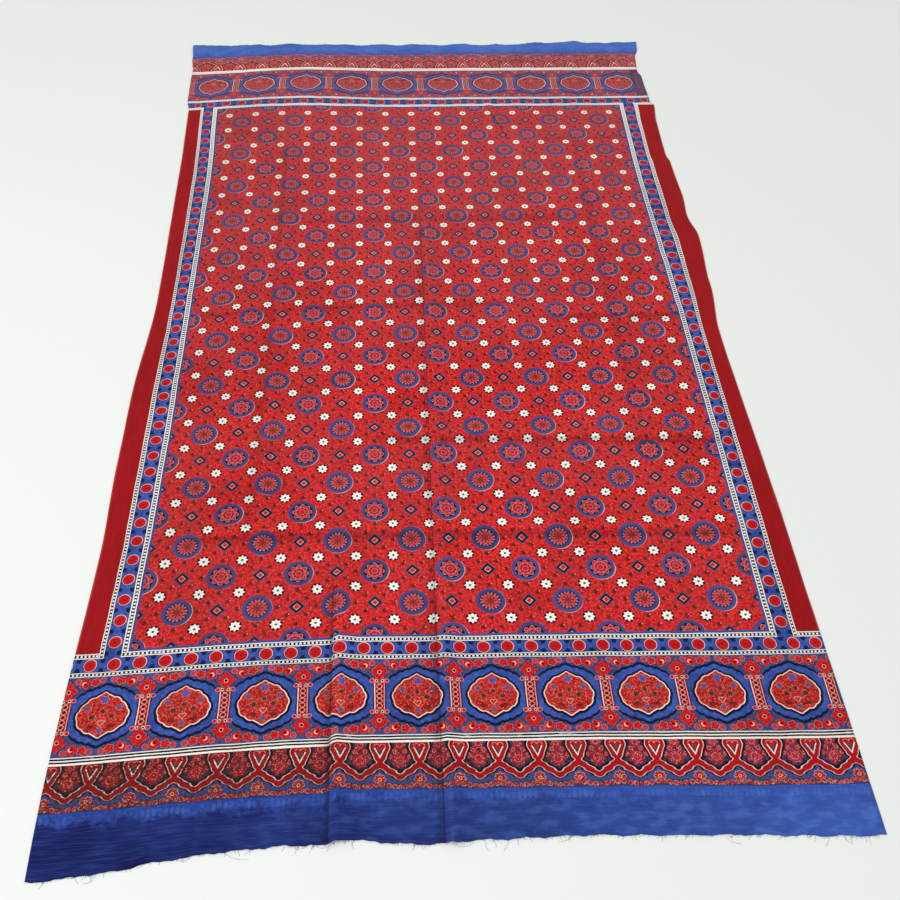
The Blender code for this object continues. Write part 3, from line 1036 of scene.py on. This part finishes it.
def draw_shaft(pen, colour, x, y, out):
    """A pillar's shaft: a chain of rings and dots between two pale lines."""
    inks = pen.inks
    shaft = pen.box(x, y, *SHAFT)
    colour = pen.print_shape(colour, shaft - 2.0, inks.black, 0.8)
    red = pen.lay(inks.madder, pen.noise(4.0, seed=58.0), inks.madder_dark)
    colour = pen.print_shape(colour, shaft, red)
    ring = pen.radius(x * 0.9, y.repeat(LINK_PITCH)) - 5.0
    colour = pen.print_shape(colour, (abs(ring + 0.8) - 0.5).larger(shaft + 2.0), inks.blush, 0.7)
    middle_dot = pen.disc(x, y.repeat(LINK_PITCH), 1.9)
    side_dot = pen.disc(out - 4.6, y.repeat(LINK_PITCH, LINK_PITCH / 2), 1.4)
    dots = middle_dot.smaller(side_dot)
    colour = pen.print_shape(colour, dots.larger(shaft), inks.black)
    colour = pen.print_shape(colour, pen.box(x + 8.4, y, 0.8, 29.0), inks.white, 0.9)
    return pen.print_shape(colour, pen.box(x - 8.6, y, 0.6, 29.0), inks.blush, 0.8)


def draw_capital(pen, colour, x, out, up):
    """A pillar's capital: a red bar with a knob at each end and two white balls on it."""
    inks = pen.inks
    capital = pen.box(x, up, *CAPITAL)
    colour = pen.print_shape(colour, capital - 1.4, inks.black, 0.7)
    colour = pen.print_shape(colour, capital, inks.madder)
    colour = pen.print_shape(colour, abs(capital + 0.4) - 0.4, inks.blush, 0.5)
    knob = pen.disc(out - CAPITAL[0], up, 3.4)
    colour = pen.print_shape(colour, knob - 0.8, inks.blush, 0.6)
    colour = pen.print_shape(colour, knob, inks.madder)
    ball = pen.radius(out - 5.4, up)
    colour = pen.print_shape(colour, ball - 2.9, inks.white, 0.85)
    return pen.print_shape(colour, ball - 1.9, inks.black)


def draw_lozenge(pen, colour, x, up, red):
    """The rippled red lozenge beyond a capital, with a dark middle."""
    inks = pen.inks
    ripple = (pen.angle(x, up) * 12.0).cosine() * 1.1
    lozenge = pen.diamond(x, up, 17.0, 18.5) - ripple
    colour = pen.print_shape(colour, lozenge - 2.0, inks.black, 0.7)
    colour = pen.print_shape(colour, lozenge - 0.5, inks.blush, pen.noise(8.0, seed=59.0) * 0.6)
    colour = pen.print_shape(colour, lozenge, red)
    centre = pen.radius(x, up + 1.0)
    colour = pen.print_shape(colour, centre - 3.9, inks.blush, 0.75)
    return pen.print_shape(colour, centre - 2.8, inks.black)


def draw_corner_flower(pen, colour, x, y, red):
    """A red flower with a pale crescent around its dark middle."""
    inks = pen.inks
    flower = pen.star_flower(pen.radius(x, y), pen.angle(x, y), CORNER_FLOWER)
    colour = pen.print_shape(colour, flower - 2.0, inks.black, 0.65)
    colour = pen.print_shape(colour, flower - 0.5, inks.blush, 0.4)
    colour = pen.print_shape(colour, flower, red)
    crescent = pen.disc(x + 1.4, y + 1.0, 4.4).larger(4.0 - pen.radius(x - 0.6, y + 2.2))
    colour = pen.print_shape(colour, crescent, inks.blush, 0.85)
    return pen.print_shape(colour, pen.disc(x - 0.6, y + 2.2, 2.4), inks.black, 0.9)


def draw_corner_bud(pen, colour, x, y, red):
    inks = pen.inks
    bud = pen.star_flower(pen.radius(x, y), pen.angle(x, y), CORNER_BUD)
    colour = pen.print_shape(colour, bud - 1.8, inks.black, 0.6)
    colour = pen.print_shape(colour, bud - 0.6, inks.blush, 0.6)
    return pen.print_shape(colour, bud, red)


def draw_pillar(pen, colour, x, y):
    """A red pillar between two medallions, with a capital at each end and flowers beyond them."""
    inks = pen.inks
    high = abs(y)
    out = abs(x)
    colour = draw_shaft(pen, colour, x, y, out)
    colour = draw_capital(pen, colour, x, out, high - CAPITAL_AT)
    red = pen.lay(inks.madder, pen.noise(3.5, seed=54.0, low=0.45, high=0.7) * 0.8, inks.madder_light)
    red = pen.lay(red, pen.noise(3.0, seed=55.0, low=0.48, high=0.62) * 0.8, inks.madder_dark)
    colour = draw_lozenge(pen, colour, x, high - LOZENGE_AT, red)
    flower_out, flower_up = CORNER_FLOWER_AT
    colour = draw_corner_flower(pen, colour, out - flower_out, high - flower_up, red)
    bud_out, bud_up = CORNER_BUD_AT
    colour = draw_corner_bud(pen, colour, out - bud_out, high - bud_up, red)
    small = pen.disc(out - 13.5, high - 66.5, 5.0).smaller(pen.disc(out - 59.0, high - 67.5, 5.2))
    colour = pen.print_shape(colour, small - 0.6, inks.blush, 0.4)
    return pen.print_shape(colour, small, red, 0.9)


# Where the print fails at the far right corner, across the cloth.
BARE_FROM = 656.0
BARE_TO = 668.0


def medallion_print(inks):
    """The broad band of medallions between pillars."""
    pen = Pen("medallion_print", inks)
    x = pen.u.repeat(MEDALLION_PITCH, MEDALLION_START)
    y = (MEDALLIONS_STOP + END_BORDER_STOP) / 2 * MM - abs(pen.v)
    colour = pen.indigo_ground()
    scallop = abs((x * (np.pi / 13.0)).math("SINE")) * 2.2
    past_frame = (abs(y) - pen.curve(FRAME_MM, abs(x)) - scallop) * 0.85
    outer = pen.lay(inks.slate, pen.noise(6.0, seed=56.0, low=0.4, high=0.6) * 0.6, inks.moss)
    colour = pen.print_shape(colour, -past_frame, outer, 0.68)
    colour = pen.print_shape(colour, abs(past_frame) - 2.3, inks.black, 0.95)
    colour = draw_cartouche(pen, colour, x, y)
    pillar_x = pen.u.repeat(MEDALLION_PITCH, MEDALLION_START + MEDALLION_PITCH / 2)
    colour = draw_pillar(pen, colour, pillar_x, y)
    bare = pen.u.between(BARE_FROM, BARE_TO) * pen.v.between(-1.0, 1.0) * 0.8
    colour = pen.lay(colour, bare, pen.lay(inks.slate, 0.6, inks.black))
    # The far end's band is paler and greyer.
    colour = pen.lay(colour, pen.v.between(-1.0, 1.0) * 0.22, inks.sheen_and_fade)
    return pen.finish(colour)


# The black lines in the band of stripes.
Line = namedtuple("Line", "depth half_width")
STRIPE_LINES = (Line(3.9, 1.7), Line(9.6, 1.6))


def stripe_print(inks):
    """White stripes with fine black lines between them."""
    pen = Pen("stripe_print", inks)
    depth = abs(pen.v) - MEDALLIONS_STOP * MM
    take = pen.noise(35.0, 8.0, seed=61.0, low=0.10, high=0.3) * (pen.v.between(500.0, -500.0) * 0.75 + 0.25)
    colour = inks.white
    for line in STRIPE_LINES:
        colour = pen.print_shape(colour, abs(depth - line.depth) - line.half_width, inks.black, take)
    colour = pen.print_shape(colour, depth - 0.5, inks.black, 0.7)
    return pen.finish(colour)


# The arches: the depth at which two ribbons cross, a ribbon's half widths, and the flowers inside an
# arch by their places out from its middle and into the band.
CROSSING_DEPTH = 38.0
RIBBON_HALF_WIDTH = 4.5
RIBBON_RIM = 5.7
RIBBON_OUTLINE = 8.0
ArchFlower = namedtuple("ArchFlower", "out depth radius")
ARCH_FLOWERS = (
    ArchFlower(0.0, 32.5, 15.0), ArchFlower(17.5, 26.5, 6.0), ArchFlower(8.5, 16.5, 6.6),
    ArchFlower(0.0, 4.5, 10.5),
)
BEAD_PITCH = 10.4
BEAD_RADIUS = 4.9
SPANDREL_FLOWER_DEPTH = 67.5
SPANDREL_FLOWER_RIM = Petals(8, 8.6, 11.0)
SPANDREL_FLOWER = Petals(8, 7.6, 10.0)


def arch_print(inks):
    """Crossing ribbons that make a row of pointed arches, with flowers in and below them."""
    pen = Pen("arch_print", inks)
    depth = abs(pen.v) - STRIPES_STOP * MM
    x = pen.u.repeat(ARCH_PITCH, MEDALLION_START)
    out = abs(x)
    ripple = (depth * 0.62).cosine() * depth.between(26.0, 46.0) * 1.7
    ribbon = out - pen.curve(RIBBON_MM, depth) - ripple
    red = pen.lay(inks.madder, pen.noise(3.0, seed=73.0) * 0.7, inks.madder_dark)
    flecked = pen.lay(red, pen.noise(2.4, seed=74.0, low=0.62, high=0.70) * 0.8, inks.blush)
    colour = draw_arch_inside(pen, depth, flecked)
    colour = draw_spandrel(pen, colour, x, depth, ribbon, flecked)
    colour = draw_ribbon(pen, colour, out, depth, ribbon, red)
    below = pen.lay(inks.moss, pen.noise(5.0, seed=78.0), inks.slate)
    colour = pen.print_shape(colour, 73.0 - depth + ripple, below, 0.85)
    bead_depth = depth - 78.5 + (x * (2.0 * np.pi / ARCH_PITCH)).cosine() * 2.4
    bead = pen.radius(x.repeat(BEAD_PITCH, BEAD_PITCH / 2), bead_depth) - BEAD_RADIUS
    colour = pen.print_shape(colour, bead - 0.8, inks.black, 0.7)
    colour = pen.print_shape(colour, bead, inks.blush, pen.noise(12.0, seed=79.0) * 0.7)
    colour = pen.print_shape(colour, bead + 0.9, flecked)
    pale_far = pen.v.between(-1.0, 1.0) * 0.16
    colour = pen.lay(colour, pale_far, inks.madder_pale)
    near_left = pen.u.between(250.0, -550.0) * pen.v.between(1.0, -1.0)
    stain = pen.noise(70.0, 40.0, seed=77.0, low=0.50, high=0.75) * 0.45 + near_left * 0.85
    colour = pen.lay(colour, stain * pen.noise(4.0, seed=80.0), inks.moss)
    return pen.finish(colour)


def draw_arch_inside(pen, depth, red):
    """The inside of an arch: a dark ground with a red floral cluster."""
    inks = pen.inks
    x = pen.u.repeat(ARCH_PITCH, MEDALLION_START + ARCH_PITCH / 2)
    colour = pen.lay(inks.moss, pen.noise(7.0, seed=71.0, low=0.4, high=0.6) * 0.7, inks.slate)
    colour = pen.lay(colour, pen.noise(3.0, seed=72.0, low=0.5, high=0.7) * 0.6, inks.black)
    for flower in ARCH_FLOWERS:
        side = abs(x) - flower.out if flower.out else x
        radius = pen.radius(side, depth - flower.depth)
        angle = pen.angle(side, depth - flower.depth)
        shape = pen.round_flower(radius, angle, Petals(7, flower.radius * 0.70, flower.radius))
        colour = pen.print_shape(colour, shape - 0.9, inks.black, 0.6)
        colour = pen.print_shape(colour, shape, red, 0.95)
        colour = pen.print_shape(colour, abs(radius - flower.radius * 0.45) - 0.4, inks.blush, 0.4)
    leaves = pen.lay(inks.moss, pen.u.between(-500.0, 500.0), inks.slate)
    return pen.lay(colour, pen.noise(4.0, seed=88.0, low=0.50, high=0.66) * 0.55, leaves)


def draw_spandrel(pen, colour, x, depth, ribbon, red):
    """The corner between two arches: blue, with one red flower that has a yellow middle."""
    inks = pen.inks
    blue = pen.lay(inks.indigo, pen.noise(6.0, seed=76.0) * 0.3 + 0.6, inks.slate)
    blue = pen.lay(blue, pen.noise(4.0, seed=87.0, low=0.50, high=0.68) * 0.6, inks.moss)
    colour = pen.print_shape(colour, ribbon.larger(CROSSING_DEPTH - depth), blue)
    flower_depth = depth - SPANDREL_FLOWER_DEPTH
    radius, angle = pen.radius(x, flower_depth), pen.angle(x, flower_depth)
    rim = pen.round_flower(radius, angle, SPANDREL_FLOWER_RIM)
    colour = pen.print_shape(colour, rim, inks.blush, 0.5)
    colour = pen.print_shape(colour, pen.round_flower(radius, angle, SPANDREL_FLOWER), red)
    colour = pen.print_shape(colour, radius - 3.2, pen.lay(inks.blush, 0.4, inks.gold), 0.8)
    return pen.print_shape(colour, radius - 1.9, inks.moss, 0.9)


def draw_ribbon(pen, colour, out, depth, ribbon, red):
    """A red ribbon between fine pale lines, with a black shadow towards the inside of the arch."""
    inks = pen.inks
    edge = abs(ribbon) * (depth.between(46.0, 34.0) * 0.36 + 0.54)
    shadow = ribbon.between(-1.0, 1.0)
    colour = pen.print_shape(colour, edge - RIBBON_OUTLINE - shadow * 1.6, inks.black, 0.95)
    pale = pen.lay(inks.blush, pen.noise(12.0, seed=85.0), inks.white)
    colour = pen.print_shape(colour, edge - RIBBON_RIM, pale, shadow * 0.30 + 0.65)
    darker = pen.u.between(500.0, -500.0) * 0.38 + 0.14
    middle = edge - RIBBON_HALF_WIDTH
    colour = pen.print_shape(colour, middle, pen.lay(red, darker, inks.madder_dark))
    colour = pen.print_shape(colour, ribbon.larger(depth - 30.0), red)
    heart = (out - (30.0 - depth) * 0.50) * 0.89
    above = 9.5 - depth
    colour = pen.print_shape(colour, heart.larger(above), inks.white)
    colour = pen.print_shape(colour, (heart + 1.9).larger(above - 1.0), inks.black, 0.95)
    colour = pen.print_shape(colour, (heart + 5.2).larger(above - 2.0), inks.madder, 0.9)
    lobes = abs(pen.radius(out - 5.0, (depth - 6.0) * 1.5) - 4.6) - 0.5
    return pen.print_shape(colour, lobes.larger(depth - 7.0), inks.blush, 0.7)


# The row of pale ovals where the blue ends meet the print.
OVAL_PITCH = 9.5
OVAL_RADIUS = 4.0
OVAL_DEPTH = 13.0


def blue_end_print(inks):
    """The plain blue ends, mottled where they meet the print."""
    pen = Pen("blue_end_print", inks)
    depth = abs(pen.v) - ARCHES_STOP * MM
    side = pen.u.between(-600.0, 720.0)
    colour = pen.lay(inks.indigo_deep, side * side, inks.indigo)
    far = pen.v.between(-1.0, 1.0)
    colour = pen.lay(colour, (side * side * 0.26).larger(far * 0.80), inks.indigo_light)
    colour = pen.lay(colour, pen.noise(120.0, 60.0, seed=81.0) * 0.20, inks.indigo)
    colour = pen.lay(colour, pen.noise(60.0, 26.0, seed=86.0, low=0.45, high=0.75) * 0.24, inks.indigo_deep)
    cloudy = pen.noise(32.0, 17.0, seed=90.0, low=0.45, high=0.70) * side * 0.42
    colour = pen.lay(colour, cloudy, inks.indigo_light)
    zigzag = abs(pen.u.repeat(ARCH_PITCH, MEDALLION_START)) * 0.35
    shore = (14.0 - depth + zigzag + pen.noise(11.0, seed=82.0) * 14.0).between(0.0, 14.0)
    colour = pen.lay(colour, shore * (pen.noise(7.0, seed=83.0) * 0.45 + 0.35), inks.indigo)
    ovals = pen.radius(pen.u.repeat(OVAL_PITCH), (depth - OVAL_DEPTH) * 0.6) - OVAL_RADIUS
    uneven = pen.noise(30.0, seed=89.0, low=0.4, high=0.7) * 0.35
    colour = pen.print_shape(colour, ovals, inks.indigo_light, uneven)
    streaks = pen.noise(55.0, 2.2, seed=84.0, low=0.45, high=0.8)
    colour = pen.lay(colour, streaks * 0.14, inks.indigo_light)
    colour = pen.lay(colour, (1.5 - depth).between(0.0, 1.0) * 0.6, inks.indigo_deep)
    return pen.finish(colour)


def selvedge_print(inks):
    """The plain dark red strip along both sides."""
    pen = Pen("selvedge_print", inks)
    colour = pen.lay(inks.selvedge, pen.noise(3.0, 60.0, seed=91.0, low=0.4, high=0.8) * 0.35, inks.madder)
    colour = pen.lay(colour, pen.noise(70.0, 160.0, seed=92.0) * 0.30, inks.madder_dark)
    rim = (abs(pen.u) - (RIGHT * MM - 3.0)).between(0.0, 1.0)
    colour = pen.lay(colour, rim * 0.35, inks.madder_pale)
    return pen.finish(colour)


PRINTS = (
    field_print, side_border_print, end_border_print, medallion_print, stripe_print, arch_print,
    blue_end_print, selvedge_print,
)


def print_at(across, along):
    """The number of the print that each place belongs to."""
    side, end = np.abs(across), np.abs(along)
    number = np.full(across.shape, PRINTS.index(field_print))
    number[side > FIELD_WIDTH / 2] = PRINTS.index(side_border_print)
    number[side > SIDE_STOP] = PRINTS.index(selvedge_print)
    in_side = (side > SIDE_LADDER_STOP) & (side < SIDE_STOP) & (end < END_LADDER_STOP)
    number[(end > FIELD_LENGTH / 2) & ~in_side] = PRINTS.index(end_border_print)
    number[end > END_BORDER_STOP] = PRINTS.index(medallion_print)
    number[end > MEDALLIONS_STOP] = PRINTS.index(stripe_print)
    number[end > STRIPES_STOP] = PRINTS.index(arch_print)
    number[end > ARCHES_STOP] = PRINTS.index(blue_end_print)
    return number


def thread_material(name, colour):
    """A soft cotton thread, lighter and darker along its length."""
    material = bpy.data.materials.new(name)
    material.use_nodes = True
    nodes, links = material.node_tree.nodes, material.node_tree.links
    shader = nodes["Principled BSDF"]
    place = nodes.new("ShaderNodeTexCoord")
    noise = nodes.new("ShaderNodeTexNoise")
    noise.inputs["Scale"].default_value = 900.0
    links.new(place.outputs["Object"], noise.inputs["Vector"])
    mix = nodes.new("ShaderNodeMix")
    mix.data_type = "RGBA"
    links.new(noise.outputs[0], mix.inputs[0])
    mix.inputs[6].default_value = (*(share * 0.6 for share in colour), 1.0)
    mix.inputs[7].default_value = (*(min(1.0, share * 1.5 + 0.02) for share in colour), 1.0)
    links.new(mix.outputs[2], shader.inputs["Base Color"])
    bump = nodes.new("ShaderNodeBump")
    bump.inputs["Strength"].default_value = 0.3
    bump.inputs["Distance"].default_value = 0.0002
    links.new(noise.outputs[0], bump.inputs["Height"])
    links.new(bump.outputs[0], shader.inputs["Normal"])
    shader.inputs["Roughness"].default_value = 0.85
    shader.inputs["Sheen Weight"].default_value = 0.2
    return material


def add_piece(name, mesh_or_curve):
    piece = bpy.data.objects.new(name, mesh_or_curve)
    bpy.context.scene.collection.objects.link(piece)
    return piece


def cloth_grid(step):
    """The sheet's grid lines: where bands of the print meet, at the creases, and evenly between those."""
    sides = (FIELD_WIDTH / 2, SIDE_LADDER_STOP, SIDE_DISCS_STOP, SIDE_STOP)
    lines_across = {side * stop for side in (-1, 1) for stop in sides}
    ends = (FIELD_LENGTH / 2, END_LADDER_STOP, END_DISCS_STOP, END_BORDER_STOP)
    ends += (MEDALLIONS_STOP, STRIPES_STOP, ARCHES_STOP)
    lines_along = {side * stop for side in (-1, 1) for stop in ends}
    lines_along |= {NEAR + BESIDE_CUT_END, FAR - BESIDE_CUT_END}
    columns = grid_lines(LEFT, RIGHT, step, lines_across | crease_lines(LENGTHWISE))
    rows = grid_lines(NEAR, FAR, step, lines_along | crease_lines(CROSSWISE))
    return columns, rows


def grid_faces(row_count, column_count):
    """The four corners of each of a grid's faces."""
    corner = np.arange(row_count * column_count).reshape(row_count, column_count)
    faces = np.stack([corner[:-1, :-1], corner[:-1, 1:], corner[1:, 1:], corner[1:, :-1]], axis=-1)
    return faces.reshape(-1, 4)


def add_cloth(sizes, inks):
    """The sheet: a flat grid with its print by band, laid down point by point and made thick."""
    columns, rows = cloth_grid(sizes.grid_step)
    across, along = (places.ravel() for places in np.meshgrid(columns, rows))
    faces = grid_faces(len(rows), len(columns))
    mesh = bpy.data.meshes.new("cloth_sheet")
    mesh.from_pydata(np.stack(lay_down(across, along), axis=1).tolist(), [], faces.tolist())
    flat = mesh.uv_layers.new(name=FLAT_PLACE)
    loops = faces.ravel()
    flat.data.foreach_set("uv", np.stack([across[loops], along[loops]], axis=1).ravel())
    # Crest wear with its painted highlight, and painted shade in the hollows, point by point.
    wear_and_shade = mesh.attributes.new(CREST_WEAR_AND_SHADE, "FLOAT", "POINT")
    wear_and_shade.data.foreach_set("value", crest_wear_and_shade(across, along))
    for make_print in PRINTS:
        mesh.materials.append(make_print(inks))
    numbers = print_at(across[faces].mean(axis=1), along[faces].mean(axis=1))
    mesh.polygons.foreach_set("material_index", numbers.astype(np.int32))
    mesh.shade_smooth()
    cloth = add_piece("cloth_sheet", mesh)
    thicken = cloth.modifiers.new("thickness", "SOLIDIFY")
    thicken.thickness = sizes.thickness
    thicken.offset = 1.0
    return cloth


def thread_points(start, heading, length, bend, dice):
    """Points along one loose thread that droops to the surface and lies there."""
    points = [np.array(start)]
    for step in range(THREAD_STEPS):
        heading = heading + bend / THREAD_STEPS + dice.normal(0.0, THREAD_WANDER)
        forward = np.array((np.sin(heading), -np.cos(heading), 0.0))
        point = points[-1] + forward * length / THREAD_STEPS
        height = start[2] * (1.0 - (step + 1) / THREAD_STEPS * THREAD_DROOP)
        point[2] = max(THREAD_LIES_AT, height + abs(dice.normal(0.0, THREAD_LIES_AT)))
        points.append(point)
    return points


def add_threads(name, along, away, count, sizes, loose, material):
    """Short threads along a cut end, and the few long loose ones that are listed."""
    dice = np.random.RandomState(SEED + (1 if away > 0 else 0))
    curve = bpy.data.curves.new(name, "CURVE")
    curve.dimensions = "3D"
    curve.bevel_depth = sizes.thread_width / 2
    curve.bevel_resolution = 0
    curve.use_fill_caps = True
    rows = []
    for across in np.sort(dice.uniform(LEFT + FROM_CORNER, RIGHT - FROM_CORNER, count)):
        length = sizes.thread_length * (0.35 + dice.gamma(1.6, 0.55))
        turn = dice.normal(0.0, FRAY_TURN)
        rows.append(Thread(across, turn, min(length, LONGEST_FRAY), dice.normal(0.0, FRAY_BEND)))
    rows += loose
    for thread in rows:
        x, y, z = (float(part[0]) for part in lay_down(np.array([thread.across]), np.array([along])))
        heading = thread.turn if away < 0 else np.pi - thread.turn
        start = (x, y - away * THREAD_ROOT, z + sizes.thickness * dice.uniform(0.2, 0.8))
        line = curve.splines.new("POLY")
        points = thread_points(start, heading, thread.length, thread.bend, dice)
        line.points.add(len(points) - 1)
        for spot, point in zip(line.points, points):
            spot.co = (*point, 1.0)
            spot.radius = 1.0
        line.points[-1].radius = 0.5
    curve.materials.append(material)
    return add_piece(name, curve)


class AJRAKH_OT_cloth(bpy.types.Operator):
    """Lays the printed cloth on the folds of its solid"""

    bl_idname = "ajrakh.cloth"
    bl_label = "Cloth"

    def execute(self, context):
        scene = context.scene
        cloth = add_cloth(scene.ajrakh_sizes, scene.ajrakh_colours)
        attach(cloth, "root")
        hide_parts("cloth")
        return {"FINISHED"}


class AJRAKH_OT_threads(bpy.types.Operator):
    """Adds the frayed threads of both cut ends"""

    bl_idname = "ajrakh.threads"
    bl_label = "Frayed threads"

    def execute(self, context):
        sizes, inks = context.scene.ajrakh_sizes, context.scene.ajrakh_colours
        blue = thread_material("indigo_thread", tuple(inks.slate))
        near = add_threads("near_threads", NEAR, -1, sizes.near_threads, sizes, NEAR_LOOSE, blue)
        far = add_threads("far_threads", FAR, 1, sizes.far_threads, sizes, FAR_LOOSE, blue)
        for piece in (near, far):
            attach(piece, "root")
        return {"FINISHED"}


def floor_material(colour):
    """A matt, pale floor with the slightest unevenness."""
    material = bpy.data.materials.new("pale_floor")
    material.use_nodes = True
    nodes, links = material.node_tree.nodes, material.node_tree.links
    shader = nodes["Principled BSDF"]
    noise = nodes.new("ShaderNodeTexNoise")
    noise.inputs["Scale"].default_value = 1.2
    mix = nodes.new("ShaderNodeMix")
    mix.data_type = "RGBA"
    links.new(noise.outputs[0], mix.inputs[0])
    mix.inputs[6].default_value = (*(share * 0.97 for share in colour), 1.0)
    mix.inputs[7].default_value = (*colour, 1.0)
    links.new(mix.outputs[2], shader.inputs["Base Color"])
    shader.inputs["Roughness"].default_value = 0.7
    shader.inputs["Specular IOR Level"].default_value = 0.2
    return material


FLOOR_HALF = 12.0

# The camera's place in metres and its turn in degrees.
CAMERA_AT = (-0.1027, -1.8508, 1.733)
CAMERA_TURN = (39.8, -0.04, -1.49)
SENSOR_MM = 36.0
LENS_MM = 41.4
SHIFT_X = 0.045
FARTHEST_SEEN = 60.0

SKY_STRENGTH = 0.80
LAMP_AT = (-2.2, -1.6, 3.4)
LAMP_SIZE = 1.8
LAMP_POWER = 48.0


def add_floor(colour):
    corners = [(x * FLOOR_HALF, y * FLOOR_HALF, 0.0) for x, y in ((-1, -1), (1, -1), (1, 1), (-1, 1))]
    mesh = bpy.data.meshes.new("floor")
    mesh.from_pydata(corners, [], [(0, 1, 2, 3)])
    mesh.materials.append(floor_material(colour))
    add_piece("floor", mesh)


def add_soft_light(scene):
    """An even white surrounding, and one wide lamp high on the near left."""
    world = bpy.data.worlds.new("soft_room")
    world.use_nodes = True
    world.node_tree.nodes["Background"].inputs["Color"].default_value = (1.0, 1.0, 1.0, 1.0)
    world.node_tree.nodes["Background"].inputs["Strength"].default_value = SKY_STRENGTH
    scene.world = world
    lamp = bpy.data.lights.new("ceiling_light", "AREA")
    lamp.shape = "DISK"
    lamp.size = LAMP_SIZE
    lamp.energy = LAMP_POWER
    light = add_piece("ceiling_light", lamp)
    light.location = LAMP_AT
    light.rotation_euler = (-Vector(LAMP_AT)).to_track_quat("-Z", "Y").to_euler()


def add_camera(scene):
    camera = add_piece("camera", bpy.data.cameras.new("camera"))
    camera.location = CAMERA_AT
    camera.rotation_euler = Euler([np.radians(turn) for turn in CAMERA_TURN])
    camera.data.sensor_width = SENSOR_MM
    camera.data.lens = LENS_MM
    camera.data.shift_x = SHIFT_X
    camera.data.clip_end = FARTHEST_SEEN
    scene.camera = camera


class AJRAKH_OT_stage(bpy.types.Operator):
    """Adds the floor, the soft light and the camera"""

    bl_idname = "ajrakh.stage"
    bl_label = "Stage"

    def execute(self, context):
        scene = context.scene
        add_floor(tuple(scene.ajrakh_colours.floor))
        add_soft_light(scene)
        add_camera(scene)
        scene.view_settings.view_transform = "Standard"
        return {"FINISHED"}


class AJRAKH_PT_panel(bpy.types.Panel):
    """Lists the cloth's pieces and its settings"""

    bl_idname = "AJRAKH_PT_panel"
    bl_label = "Ajrakh cloth"
    bl_space_type = "VIEW_3D"
    bl_region_type = "UI"
    bl_category = "Ajrakh"

    def draw(self, context):
        for settings in (context.scene.ajrakh_sizes, context.scene.ajrakh_colours):
            for name in settings.__annotations__:
                self.layout.prop(settings, name)
        for operator in OPERATORS:
            self.layout.operator(operator.bl_idname)


OPERATORS = (AJRAKH_OT_stage, AJRAKH_OT_cloth, AJRAKH_OT_threads)
CLASSES = (AjrakhSizes, AjrakhColours, *OPERATORS, AJRAKH_PT_panel)


def register():
    for kind in CLASSES:
        bpy.utils.register_class(kind)
    bpy.types.Scene.ajrakh_sizes = PointerProperty(type=AjrakhSizes)
    bpy.types.Scene.ajrakh_colours = PointerProperty(type=AjrakhColours)


def unregister():
    del bpy.types.Scene.ajrakh_colours
    del bpy.types.Scene.ajrakh_sizes
    for kind in reversed(CLASSES):
        bpy.utils.unregister_class(kind)


def main():
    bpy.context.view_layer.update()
    register()
    bpy.ops.ajrakh.stage()
    bpy.ops.ajrakh.cloth()
    bpy.ops.ajrakh.threads()


if __name__ == "__main__":
    main()
